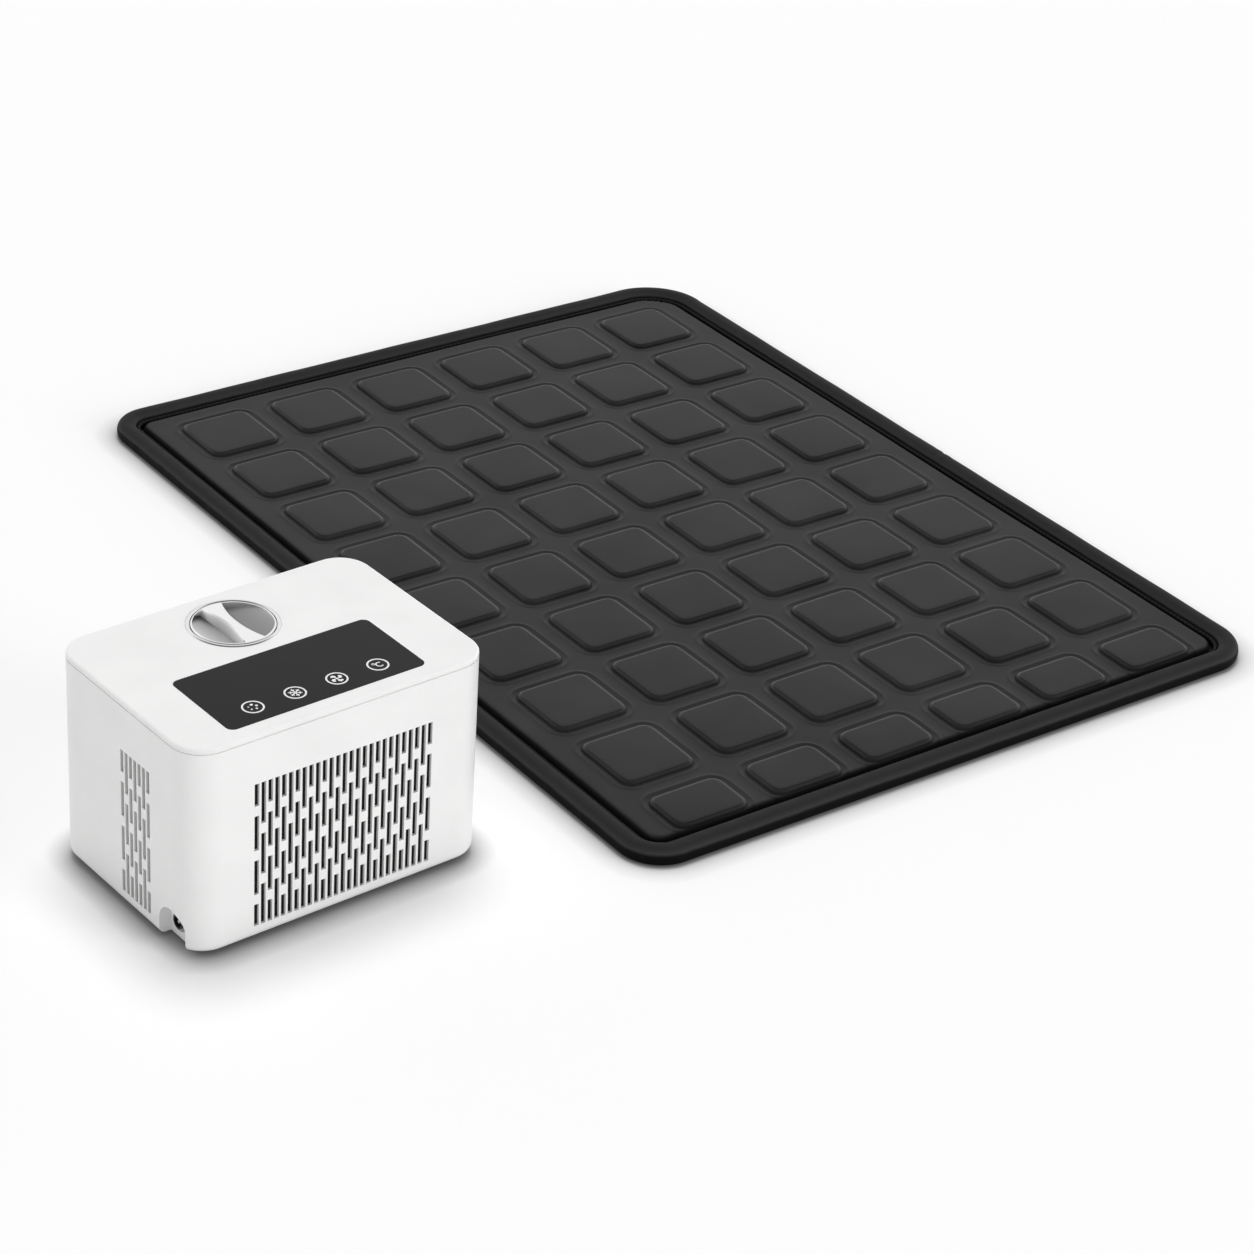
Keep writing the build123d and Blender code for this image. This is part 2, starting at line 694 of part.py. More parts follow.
def fan_frame():
    """Square fan frame with a motor seat on four struts."""
    back = FAN_FRONT + FAN_THICK
    face = Plane(origin=(0, FAN_FRONT, STACK_Z), x_dir=(1, 0, 0), z_dir=(0, -1, 0))
    frame = extrude(face * Rectangle(FAN_SIZE, FAN_SIZE), -FAN_THICK)
    frame -= rod_y(FAN_BORE, FAN_FRONT - 1, back + 1, 0, STACK_Z)
    strut = block(-2, 2, back - 3, back, 0, FAN_BORE + 1)
    for i in range(4):
        frame += Pos(0, 0, STACK_Z) * Rot(0, 45 + 90 * i, 0) * strut
    frame += rod_y(ROTOR_HUB, back - 3, back, 0, STACK_Z)
    frame += rod_y(4.5, back - 10, back - 3, 0, STACK_Z)
    return frame - rod_y(3, back - 11, back - 2, 0, STACK_Z)


def fan_bearing():
    """Bronze bush in the fan's motor seat."""
    back = FAN_FRONT + FAN_THICK
    bush = rod_y(3, back - 10, back - 2.5, 0, STACK_Z)
    return bush - rod_y(1.5 + SHAFT_CLEARANCE, back - 11, back - 1, 0, STACK_Z)


def fan_blade(depth):
    """Flat blade, wider towards its tip, pitched to fit the rotor's depth at the tip."""
    tip = depth / (2 * sin(radians(BLADE_PITCH)))
    root = 0.7 * tip
    outline = Polyline(
        (-root, ROTOR_HUB - 1), (root, ROTOR_HUB - 1), (tip, BLADE_TIP), (-tip, BLADE_TIP), close=True
    )
    plate = extrude(Plane.XZ * make_face(outline), 0.7, both=True)
    return Rot(0, 0, BLADE_PITCH) * plate


def fan_rotor():
    """Hub cup with a shaft and pitched blades."""
    front = FAN_FRONT + 1.5
    cup_back = FAN_FRONT + FAN_THICK - 4
    rotor = rod_y(ROTOR_HUB, front, cup_back, 0, STACK_Z)
    rotor -= rod_y(ROTOR_HUB - 1.5, front + 2, cup_back + 1, 0, STACK_Z)
    rotor += rod_y(1.5, front + 1, FAN_FRONT + FAN_THICK - 3, 0, STACK_Z)
    blade = Pos(0, (front + cup_back) / 2, 0) * fan_blade(cup_back - front - 3)
    for i in range(FAN_BLADES):
        rotor += Pos(0, 0, STACK_Z) * Rot(0, 360 / FAN_BLADES * i, 0) * blade
    return rotor


def fan_straps():
    """Two flat straps, one above and one below, that hook the fan to the heat sink."""
    front = FAN_FRONT - STRAP
    back = SINK_BACK + STRAP
    half = STRAP_WIDTH / 2
    straps = []
    for side in (-1, 1):
        near = STACK_Z + side * FAN_SIZE / 2
        far = near + side * STRAP
        hook = near - side * STRAP_HOOK
        strap = block(-half, half, front, back, *sorted((near, far)))
        strap += block(-half, half, front, FAN_FRONT, *sorted((hook, far)))
        strap += block(-half, half, SINK_BACK, back, *sorted((hook, far)))
        straps.append(strap)
    return Compound(children=straps)


def heat_sink():
    """Aluminium base with level fins that carry the air out to both sides."""
    low = STACK_Z - FAN_SIZE / 2
    high = STACK_Z + FAN_SIZE / 2
    half = SINK_WIDTH / 2
    sink = block(-half, half, SINK_BACK - SINK_BASE, SINK_BACK, low, high)
    step = (FAN_SIZE - FIN_THICK) / (FIN_COUNT - 1)
    for i in range(FIN_COUNT):
        z = low + i * step
        sink += block(-half, half, SINK_FRONT, SINK_BACK - SINK_BASE, z, z + FIN_THICK)
    return sink


def thermoelectric_modules():
    """Two modules pressed between the heat sink and the water block."""
    half = MODULE / 2
    low = STACK_Z - half
    high = STACK_Z + half
    pair = [block(x - half, x + half, SINK_BACK, BLOCK_FRONT, low, high) for x in (-18, 18)]
    return Compound(children=pair)


def water_block():
    """Aluminium block that the water runs through, with an ear and a stub at each end."""
    half = BLOCK_WIDTH / 2
    body = block(-half, half, BLOCK_FRONT, BLOCK_BACK, BLOCK_LOW, BLOCK_HIGH)
    body += block(SUPPLY_X - 6, -half, BLOCK_FRONT, BLOCK_BACK, PORT_Z - 6, PORT_Z + 6)
    body += block(half, OUTLET_X + 6, BLOCK_FRONT, BLOCK_BACK, BLOCK_LOW, PUMP_OUTLET_Z + 6)
    for x, z in ((SUPPLY_X, PORT_Z), (OUTLET_X, PUMP_OUTLET_Z)):
        body += rod_y(STUB_RADIUS, BLOCK_BACK, BLOCK_BACK + STUB_LENGTH, x, z)
        body -= rod_y(WATERWAY, BLOCK_BACK - 6, BLOCK_BACK + STUB_LENGTH + 1, x, z)
    return body


def clamp_bars():
    """Two bars on posts that press the water block and modules against the heat sink."""
    half = BLOCK_HEIGHT / 2
    bars = []
    for x in (-36, 36):
        z0 = STACK_Z - half - 5
        z1 = STACK_Z + half + 5
        bar = block(x - 4, x + 4, BLOCK_BACK, BLOCK_BACK + 1.5, z0, z1)
        bar += block(x - 4, x + 4, SINK_BACK, BLOCK_BACK, z0, z0 + 4)
        bar += block(x - 4, x + 4, SINK_BACK, BLOCK_BACK, z1 - 4, z1)
        bars.append(bar)
    return Compound(children=bars)


# Hoses, ports and power

PORT_INSIDE = HALF_D - WALL - PORT_NUT


def hose(y0, y1, x, z):
    """Straight length of hollow hose pushed over a stub at each end."""
    return rod_y(HOSE_OUTER, y0, y1, x, z) - rod_y(HOSE_BORE, y0 - 1, y1 + 1, x, z)


def hose_pump_to_block():
    """Hose from the pump's outlet to the water block."""
    return hose(BLOCK_BACK + 0.2, OUTLET_Y - 0.2, OUTLET_X, PUMP_OUTLET_Z)


def hose_block_to_supply():
    """Hose from the water block to the supply port."""
    return hose(BLOCK_BACK + 0.2, PORT_INSIDE - 0.2, SUPPLY_X, PORT_Z)


def port(x):
    """Bulkhead port: flange and plain spigot outside, hexagon nut and stub inside."""
    wall_in = HALF_D - WALL
    nut_face = Plane(origin=(x, wall_in, PORT_Z), x_dir=(1, 0, 0), z_dir=(0, -1, 0))
    body = extrude(nut_face * RegularPolygon(PORT_FLANGE, 6), PORT_NUT)
    body += rod_y(PORT_RADIUS + 1, wall_in, HALF_D, x, PORT_Z)
    body += rod_y(PORT_FLANGE, HALF_D, HALF_D + 2, x, PORT_Z)
    body += rod_y(PORT_RADIUS, HALF_D + 2, HALF_D + 2 + PORT_LENGTH, x, PORT_Z)
    body += rod_y(STUB_RADIUS, PORT_INSIDE - STUB_LENGTH, PORT_INSIDE, x, PORT_Z)
    return body - rod_y(WATERWAY, PORT_INSIDE - STUB_LENGTH - 1, HALF_D + 20, x, PORT_Z)


def supply_port():
    """Port that sends warm water to the mat."""
    return port(SUPPLY_X)


def return_port():
    """Port that takes water back from the mat into the tank."""
    return port(RETURN_X)


def dc_jack():
    """Power jack: barrel through the notch wall and a body behind it."""
    wall = -HALF_W + NOTCH_DEPTH
    tip = wall - JACK_REACH
    back = wall + NOTCH_WALL
    jack = rod_x(JACK_BARREL, tip, back, JACK_Y, JACK_Z)
    jack += block(back, back + 13, JACK_Y - 4.5, JACK_Y + 4.5, JACK_Z - 5.5, JACK_Z + 5.5)
    return jack - rod_x(JACK_HOLE, tip - 1, tip + 10, JACK_Y, JACK_Z)


def jack_pin():
    """Centre contact of the jack."""
    tip = -HALF_W + NOTCH_DEPTH - JACK_REACH
    return rod_x(1.0, tip + 0.8, tip + 10, JACK_Y, JACK_Z)


def jack_nut():
    """Round nut that clamps the jack in the notch."""
    wall = -HALF_W + NOTCH_DEPTH
    nut = rod_x(NUT_RADIUS, wall - NUT_THICK, wall, JACK_Y, JACK_Z)
    nut = chamfer(nut.edges().sort_by(Axis.X)[0], 0.5)
    return nut - rod_x(NUT_BORE, wall - NUT_THICK - 1, wall + 1, JACK_Y, JACK_Z)


def main_board():
    """Power board that stands on the floor behind the jack, with its parts on the back."""
    board = block(-81, -53, JACK_Y + 6.6, JACK_Y + 8.2, FLOOR, 100)
    for z in (30, 52, 80):
        board += block(-77, -60, JACK_Y + 8.2, JACK_Y + 10, z - 5, z + 5)
    return board


MAT_NODES = {
    "mat_bottom_sheet": mat_bottom_sheet,
    "mat_water_bladder": mat_water_bladder,
    "mat_foam_layer": mat_foam_layer,
    "mat_top_sheet": mat_top_sheet,
    "mat_edge_piping": mat_edge_piping,
    "mat_edge_roll": mat_edge_roll,
    "mat_hose_gland": mat_hose_gland,
    "mat_hose_spigots": mat_hose_spigots,
}

UNIT_NODES = {
    "housing": housing,
    "rubber_feet": rubber_feet,
    "top_cover": top_cover,
    "touch_panel": touch_panel,
    "control_board": control_board,
    "filler_ring": filler_ring,
    "cap_seal": cap_seal,
    "filler_cap": filler_cap,
    "water_tank": water_tank,
    "tank_lid": tank_lid,
    "tank_grommet": tank_grommet,
    "pump_volute": pump_volute,
    "pump_motor": pump_motor,
    "pump_shaft": pump_shaft,
    "pump_impeller": pump_impeller,
    "fan_frame": fan_frame,
    "fan_bearing": fan_bearing,
    "fan_rotor": fan_rotor,
    "fan_straps": fan_straps,
    "heat_sink": heat_sink,
    "thermoelectric_modules": thermoelectric_modules,
    "water_block": water_block,
    "clamp_bars": clamp_bars,
    "hose_pump_to_block": hose_pump_to_block,
    "hose_block_to_supply": hose_block_to_supply,
    "supply_port": supply_port,
    "return_port": return_port,
    "dc_jack": dc_jack,
    "jack_pin": jack_pin,
    "jack_nut": jack_nut,
    "main_board": main_board,
}


def main():
    """Writes one STEP for each sub-part."""
    os.makedirs("parts", exist_ok=True)
    for name, make in MAT_NODES.items():
        export_step(make(), f"parts/{name}.step")
    for name, make in UNIT_NODES.items():
        export_step(UNIT_AT * make(), f"parts/{name}.step")


main()
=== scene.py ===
"""Looks of the heated water pet pad: a padded mat and a white unit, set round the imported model.

The frame is in metres and this file's own sizes are in millimetres. +X runs along the mat's
short side, +Y along its long side, +Z up, and the origin is on the floor under the mat's middle.
"""

import math

import bmesh
import bpy
import numpy as np
from mathutils import Matrix, Vector


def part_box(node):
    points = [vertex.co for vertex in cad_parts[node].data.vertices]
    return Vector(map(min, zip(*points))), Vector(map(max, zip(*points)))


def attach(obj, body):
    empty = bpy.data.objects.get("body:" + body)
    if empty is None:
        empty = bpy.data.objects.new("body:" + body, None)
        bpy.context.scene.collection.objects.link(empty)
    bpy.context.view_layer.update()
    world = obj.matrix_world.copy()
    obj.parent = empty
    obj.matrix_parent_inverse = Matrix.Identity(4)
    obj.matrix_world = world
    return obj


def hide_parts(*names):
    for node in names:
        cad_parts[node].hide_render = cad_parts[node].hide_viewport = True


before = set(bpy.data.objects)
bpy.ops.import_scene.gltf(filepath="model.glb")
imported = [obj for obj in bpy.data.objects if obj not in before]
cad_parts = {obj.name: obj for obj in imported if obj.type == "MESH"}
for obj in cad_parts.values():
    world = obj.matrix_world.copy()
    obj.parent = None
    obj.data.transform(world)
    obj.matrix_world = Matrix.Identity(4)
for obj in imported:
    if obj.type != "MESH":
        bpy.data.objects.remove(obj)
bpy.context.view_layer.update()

MM = 0.001

# Mat sizes, as in the solids
MAT_WIDTH = 450.0
MAT_LENGTH = 600.0
FAR_RIGHT_CORNER = 41.0
NEAR_RIGHT_CORNER = 29.0
NEAR_LEFT_CORNER = 26.0
FAR_LEFT_CORNER = 25.0
ROLL_WIDTH = 12.6
ROLL_HEIGHT = 10.4
ROLL_SHOULDER = 4.4
GROOVE = 4.6
PIPING_INSET = 13.8
PIPING_RADIUS = 1.1
PIPING_HEIGHT = 6.6
BASE_TOP = 1.2
SHEET_TOP = 7.4
TILE_COLUMNS = 6
TILE_ROWS = 9
TILE = 49.0
TILE_CORNER = 7.5
TILE_PITCH_X = 65.9
TILE_PITCH_Y = 64.1
FIRST_ROW_TOP = 265.7
LAST_ROW_DEPTH = 34.0

# Padding of the sheet
TILE_RISE = 1.9
TILE_CROWN = 0.45
TRIAL_STEP = 5.0
TRIAL_FRAMES = 20
TRIAL_TENSION = 30
TRIAL_BENDING = 1
TRIAL_PRESSURE = 4
FLANK = 3.8
CREASE_DEPTH = 0.34
CREASE_FLAT = 0.3
CREASE_END = 3.4
LIP_HEIGHT = 0.3
LIP_OUT = 3.8
LIP_SPREAD = 1.0
SHEET_ROUND = 3.0
SHEET_WAVES = 0.16
SEAM_Y = -11.7

# Unit
UNIT_X = -380.7
UNIT_Y = -177.3
UNIT_TURN = 3.0
UNIT_WIDTH = 183.0
UNIT_DEPTH = 130.0
SCREEN_LOW = 8.8
SCREEN_HIGH = 96.8
SCREEN_DEPTH = 1.65
SCREEN_THICK = 0.3
FRONT_SCREEN = 114.6
SIDE_SCREEN = 33.4
SIDE_SCREEN_Y = -13.4
PLEAT = 1.4
PLEAT_DEPTH = 0.3
PANEL_X = -2.6
PANEL_TOP = 124.15
KEY_PITCH = 25.2
KEY_Y = -42.2
KEY_RADIUS = 5.9
KEY_STROKE = 0.95


# Mesh helpers


def mesh_object(name, points, faces, smooth=True):
    """Object from points in millimetres and faces."""
    mesh = bpy.data.meshes.new(name)
    mesh.from_pydata((np.asarray(points) * MM).tolist(), [], faces)
    mesh.update()
    mesh.polygons.foreach_set("use_smooth", [smooth] * len(mesh.polygons))
    piece = bpy.data.objects.new(name, mesh)
    bpy.context.scene.collection.objects.link(piece)
    return piece


def set_attribute(piece, name, values):
    """One number for each vertex, which a material can read."""
    attribute = piece.data.attributes.new(name, "FLOAT", "POINT")
    attribute.data.foreach_set("value", np.asarray(values, np.float32))


def corner_radius(x, y):
    """Radius of the mat's outline in the quarter where each point lies."""
    right = np.where(y > 0, FAR_RIGHT_CORNER, NEAR_RIGHT_CORNER)
    left = np.where(y > 0, FAR_LEFT_CORNER, NEAR_LEFT_CORNER)
    return np.where(x > 0, right, left)


def rounded_distance(x, y, half_x, half_y, radius):
    """Distance outside a rounded rectangle, negative inside it."""
    qx = np.abs(x) - half_x + radius
    qy = np.abs(y) - half_y + radius
    outside = np.hypot(np.maximum(qx, 0), np.maximum(qy, 0))
    return outside + np.minimum(np.maximum(qx, qy), 0) - radius


def bell(value, middle, spread):
    """Smooth bump of height one."""
    return np.exp(-(((value - middle) / spread) ** 2))


def smooth_step(value):
    """Eases from none to one, level at both ends."""
    value = np.clip(value, 0, 1)
    return value * value * (3 - 2 * value)


# Padded cover sheet

SHEET_INSET = ROLL_WIDTH + GROOVE
SHEET_HALF_X = MAT_WIDTH / 2 - SHEET_INSET
SHEET_HALF_Y = MAT_LENGTH / 2 - SHEET_INSET
ACROSS_EDGE = (
    -5.6, -4.6, -3.8, -3.1, -2.5, -2.0, -1.5, -1.1, -0.75, -0.45, -0.2, 0.0,
    0.25, 0.8, 1.4, 1.9, 2.4, 2.9, 3.4, 4.0, 4.7, 5.6,
)


def grid_lines(tile_edges, half):
    """Grid lines that crowd round each tile's edges and the sheet's own edge."""
    inward = (0.0, 0.15, 0.35, 0.6, 0.9, 1.3, 1.8, 2.4, 3.2)
    lines = [edge + side * step for edge, side in tile_edges for step in ACROSS_EDGE]
    lines += [side * (half - step) for side in (-1, 1) for step in inward]
    lines = sorted(line for line in lines if abs(line) <= half)
    kept = [lines[0]]
    for line in lines[1:]:
        gap = line - kept[-1]
        if gap < 0.12 and abs(line) < half:
            continue
        extra = int(gap // 3.2)
        kept += [kept[-1] + gap * (i + 1) / (extra + 1) for i in range(extra)]
        kept.append(line)
    return np.array(kept)


def tile_columns():
    """Middle of each column of tiles."""
    return [(c - (TILE_COLUMNS - 1) / 2) * TILE_PITCH_X for c in range(TILE_COLUMNS)]


def tile_rows():
    """Middle and depth of each row of tiles, from the far one."""
    rows = []
    for r in range(TILE_ROWS):
        depth = LAST_ROW_DEPTH if r == TILE_ROWS - 1 else TILE
        rows.append((FIRST_ROW_TOP - r * TILE_PITCH_Y - depth / 2, depth))
    return rows


def nearest_tile(x, y):
    """Place of each point from its nearest tile's middle, the tile's half depth, and its number."""
    columns = np.array(tile_columns())
    rows = np.array(tile_rows())
    column = np.clip(np.rint((x - columns[0]) / TILE_PITCH_X), 0, TILE_COLUMNS - 1).astype(int)
    row = np.clip(np.rint((rows[0, 0] - y) / TILE_PITCH_Y), 0, TILE_ROWS - 1).astype(int)
    return x - columns[column], y - rows[row, 0], rows[row, 1] / 2, (row, column)


def simulated_crown():
    """Cloth simulation of the sheet, held where it is welded and blown up over each tile."""
    wide = int(2 * SHEET_HALF_X / TRIAL_STEP) + 2
    deep = int(2 * SHEET_HALF_Y / TRIAL_STEP) + 2
    xs = np.arange(wide) * TRIAL_STEP - SHEET_HALF_X
    ys = np.arange(deep) * TRIAL_STEP - SHEET_HALF_Y
    x, y = (a.ravel() for a in np.meshgrid(xs, ys))
    own_x, own_y, half_y, _ = nearest_tile(x, y)
    held = rounded_distance(own_x, own_y, TILE / 2, half_y, TILE_CORNER) > -1
    faces = []
    for j in range(deep - 1):
        for i in range(wide - 1):
            a = j * wide + i
            faces.append((a, a + 1, a + wide + 1, a + wide))
    trial = mesh_object("cover_trial", np.column_stack([x, y, np.zeros_like(x)]), faces)
    group = trial.vertex_groups.new(name="held")
    group.add(np.flatnonzero(held).tolist(), 1.0, "REPLACE")
    cloth = trial.modifiers.new("cloth", "CLOTH")
    cloth.settings.vertex_group_mass = "held"
    cloth.settings.tension_stiffness = TRIAL_TENSION
    cloth.settings.bending_stiffness = TRIAL_BENDING
    cloth.settings.use_pressure = True
    cloth.settings.uniform_pressure_force = TRIAL_PRESSURE
    cloth.settings.effector_weights.gravity = 0
    cloth.point_cache.frame_end = TRIAL_FRAMES
    for number in range(1, TRIAL_FRAMES + 1):
        bpy.context.scene.frame_set(number)
    settled = trial.evaluated_get(bpy.context.evaluated_depsgraph_get()).data.vertices
    rise = np.array([v.co.z for v in settled]).reshape(deep, wide)
    mesh = trial.data
    bpy.data.objects.remove(trial)
    bpy.data.meshes.remove(mesh)
    bpy.context.scene.frame_set(1)
    return rise / rise.max()


def crown_at(x, y):
    rise = simulated_crown()
    u = (x + SHEET_HALF_X) / TRIAL_STEP
    v = (y + SHEET_HALF_Y) / TRIAL_STEP
    i = np.clip(u.astype(int), 0, rise.shape[1] - 2)
    j = np.clip(v.astype(int), 0, rise.shape[0] - 2)
    u = u - i
    v = v - j
    near = rise[j, i] * (1 - u) + rise[j, i + 1] * u
    far = rise[j + 1, i] * (1 - u) + rise[j + 1, i + 1] * u
    return near * (1 - v) + far * v


def edge_profile(away):
    """Height across a tile's edge: full flank, sharp crease at its foot, then a faint lip."""
    depth = np.clip(1 + away / FLANK, 0, 1)
    flank = (1 - depth**2.3) ** (1 / 1.9)
    outside = smooth_step((away - CREASE_FLAT) / (CREASE_END - CREASE_FLAT))
    height = np.where(away < 0, (TILE_RISE + CREASE_DEPTH) * flank, CREASE_DEPTH * outside)
    return height - CREASE_DEPTH + LIP_HEIGHT * bell(away, LIP_OUT, LIP_SPREAD)


def cover_relief(x, y):
    """Height of the padded sheet, with how near each point is to a tile's shoulder and crease."""
    own_x, own_y, half_y, number = nearest_tile(x, y)
    away = rounded_distance(own_x, own_y, TILE / 2, half_y, TILE_CORNER)
    rng = np.random.default_rng(7)
    fill = 1 + 0.05 * rng.standard_normal((TILE_ROWS, TILE_COLUMNS))[number]
    height = fill * (edge_profile(away) + TILE_CROWN * crown_at(x, y))
    waves = np.sin(x / 31 + 1.3 * np.sin(y / 47)) + np.sin(y / 39 + 0.9 * np.sin(x / 53 + 2))
    height += SHEET_WAVES * waves
    shoulder = bell(away, -1.9, 0.8)
    crease = bell(away, -0.05, 0.45)
    return SHEET_TOP + height, shoulder, crease


def mat_cover():
    """Top sheet heat-formed over its foam: raised squares, each in a shallow moat."""
    edges_x = [(c + s * TILE / 2, s) for c in tile_columns() for s in (-1, 1)]
    edges_y = [(m + s * depth / 2, s) for m, depth in tile_rows() for s in (-1, 1)]
    xs = grid_lines(edges_x, SHEET_HALF_X)
    ys = grid_lines(edges_y, SHEET_HALF_Y)
    x, y = (a.ravel() for a in np.meshgrid(xs, ys))
    radius = corner_radius(x, y) - SHEET_INSET
    corner_x = SHEET_HALF_X - radius
    corner_y = SHEET_HALF_Y - radius
    reach_x = np.abs(x) - corner_x
    reach_y = np.abs(y) - corner_y
    far = np.hypot(reach_x.clip(0), reach_y.clip(0))
    beyond = (reach_x > 0) & (reach_y > 0) & (far > radius)
    shrink = np.where(beyond, radius / np.maximum(far, 1e-9), 1)
    x = np.where(beyond, np.sign(x) * (corner_x + reach_x * shrink), x)
    y = np.where(beyond, np.sign(y) * (corner_y + reach_y * shrink), y)
    z, shoulder, crease = cover_relief(x, y)
    inside = -rounded_distance(x, y, SHEET_HALF_X, SHEET_HALF_Y, radius)
    turn = (SHEET_ROUND - inside).clip(0, SHEET_ROUND)
    z -= SHEET_ROUND - np.sqrt(SHEET_ROUND**2 - turn**2)
    wide = len(xs)
    faces = []
    for j in range(len(ys) - 1):
        for i in range(wide - 1):
            a = j * wide + i
            face = (a, a + 1, a + wide + 1, a + wide)
            if not all(beyond[v] for v in face):
                faces.append(face)
    piece = mesh_object("mat_cover", np.column_stack([x, y, z]), faces)
    # Masks for the sheet's material: paler shoulders (wear and painted highlight), painted shade in the
    # creases and at the sheet's edge.
    set_attribute(piece, "shoulder", shoulder)
    set_attribute(piece, "crease", crease)
    set_attribute(piece, "rim", smooth_step(1 - inside / SHEET_ROUND))
    add_skirt(piece, (4.0, 2.6, BASE_TOP))
    return piece


def add_skirt(piece, heights):
    """Side of the sheet: its rim pulled straight down to each height and closed below."""
    mesh = bmesh.new()
    mesh.from_mesh(piece.data)
    bmesh.ops.remove_doubles(mesh, verts=mesh.verts, dist=0.02 * MM)
    bmesh.ops.dissolve_degenerate(mesh, dist=0.01 * MM, edges=mesh.edges)
    rim_layer = mesh.verts.layers.float["rim"]
    loose = [v for v in mesh.verts if not v.link_faces]
    bmesh.ops.delete(mesh, geom=loose, context="VERTS")
    rim = [e for e in mesh.edges if e.is_boundary]
    for height in heights:
        made = bmesh.ops.extrude_edge_only(mesh, edges=rim)["geom"]
        rim = [g for g in made if isinstance(g, bmesh.types.BMEdge)]
        for v in (g for g in made if isinstance(g, bmesh.types.BMVert)):
            v.co.z = height * MM
            # The side counts fully as rim, so the sheet's material paints it in shade.
            v[rim_layer] = 1.0
    bmesh.ops.contextual_create(mesh, geom=rim)
    bmesh.ops.recalc_face_normals(mesh, faces=mesh.faces)
    for face in mesh.faces:
        face.smooth = len(face.verts) < 5
    mesh.to_mesh(piece.data)
    mesh.free()


# Roll, piping and base sheet


def edge_path(inset, step=2.5, arc_steps=30):
    """Points, outward directions and running length round the mat, a distance inside its outline."""
    quarters = []
    for side_x, side_y in ((1, 1), (-1, 1), (-1, -1), (1, -1)):
        radius = float(corner_radius(side_x, side_y))
        centre = np.array([side_x * (MAT_WIDTH / 2 - radius), side_y * (MAT_LENGTH / 2 - radius)])
        quarters.append((centre, radius - inset))
    points = []
    outward = []
    for quarter, (centre, radius) in enumerate(quarters):
        for i in range(arc_steps + 1):
            angle = math.radians(90 * (quarter + i / arc_steps))
            direction = np.array([math.cos(angle), math.sin(angle)])
            points.append(centre + radius * direction)
            outward.append(direction)
        next_centre, next_radius = quarters[(quarter + 1) % 4]
        following = next_centre + next_radius * outward[-1]
        count = int(np.linalg.norm(following - points[-1]) // step)
        last = points[-1]
        for i in range(1, count):
            points.append(last + (following - last) * i / count)
            outward.append(outward[-1])
    points = np.array(points)
    run = np.concatenate([[0], np.linalg.norm(np.roll(points, -1, 0) - points, axis=1).cumsum()])
    return points, np.array(outward), run


def sweep_ring(name, inset, section, shape=None):
    """Closed tube round the mat. section holds (outward, height) points; shape may move them."""
    points, outward, run = edge_path(inset)
    section = np.array(section)
    offsets = np.repeat(section[None, :, 0], len(points), 0)
    heights = np.repeat(section[None, :, 1], len(points), 0)
    if shape is not None:
        offsets, heights = shape(points, run[:-1], offsets, heights)
    plan = points[:, None, :] + outward[:, None, :] * offsets[:, :, None]
    vertices = np.dstack([plan, heights]).reshape(-1, 3)
    rings = len(points)
    sides = len(section)
    faces = []
    for k in range(rings):
        for j in range(sides):
            a = k * sides + j
            b = k * sides + (j + 1) % sides
            c = ((k + 1) % rings) * sides + (j + 1) % sides
            d = ((k + 1) % rings) * sides + j
            faces.append((a, b, c, d))
    piece = mesh_object(name, vertices, faces)
    girth = np.linalg.norm(np.roll(section, -1, 0) - section, axis=1).cumsum()
    girth = np.concatenate([[0], girth])
    uv = np.empty((rings, sides, 4, 2))
    uv[:, :, (0, 1), 0] = run[:-1, None, None]
    uv[:, :, (2, 3), 0] = run[1:, None, None]
    uv[:, :, (0, 3), 1] = girth[None, :-1, None]
    uv[:, :, (1, 2), 1] = girth[None, 1:, None]
    layer = piece.data.uv_layers.new(name="along")
    layer.data.foreach_set("uv", (uv.ravel() * MM).astype(np.float32))
    return piece


def roll_section(count=36):
    """Soft D: round above its shoulder, settled flat on the floor."""
    half = ROLL_WIDTH / 2
    section = []
    for i in range(count):
        angle = 2 * math.pi * i / count
        c = math.cos(angle)
        s = math.sin(angle)
        if s >= 0:
            wide = math.copysign(abs(c) ** 0.8, c)
            section.append((half * wide, ROLL_SHOULDER + (ROLL_HEIGHT - ROLL_SHOULDER) * s**0.9))
        else:
            wide = math.copysign(abs(c) ** 0.5, c)
            section.append((half * wide, ROLL_SHOULDER * (1 - abs(s) ** 0.8)))
    return section


def roll_shape(points, run, offsets, heights):
    """Small unevenness of the filling, and the seam where the cover's ends are joined."""
    along = run[:, None]
    level = heights / ROLL_HEIGHT
    swell = 0.09 * np.sin(along / 17) + 0.07 * np.sin(along / 41 + 1) + 0.05 * np.sin(along / 7.3)
    at_seam = np.where(points[:, 0] > MAT_WIDTH / 2 - ROLL_WIDTH, points[:, 1] - SEAM_Y, 999)[:, None]
    pinch = 0.8 * bell(at_seam, 0, 1.1) - 0.22 * bell(np.abs(at_seam), 3.2, 1.8)
    heights = heights + level * (swell - pinch)
    offsets = offsets * (1 + 0.02 * (swell - pinch))
    return offsets, heights


def mat_roll():
    """Padded roll bound round the edge."""
    return sweep_ring("mat_roll", ROLL_WIDTH / 2, roll_section(), roll_shape)


def mat_piping():
    """Thin corded seam between the roll and the sheet, on its sewn web."""
    middle = PIPING_HEIGHT - PIPING_RADIUS
    section = [(0.45, BASE_TOP), (0.45, middle - PIPING_RADIUS)]
    for i in range(13):
        angle = math.radians(-50 + 280 * i / 12)
        section.append((PIPING_RADIUS * math.cos(angle), middle + PIPING_RADIUS * math.sin(angle)))
    section += [(-0.45, middle - PIPING_RADIUS), (-0.45, BASE_TOP)]
    return sweep_ring("mat_piping", PIPING_INSET, section)


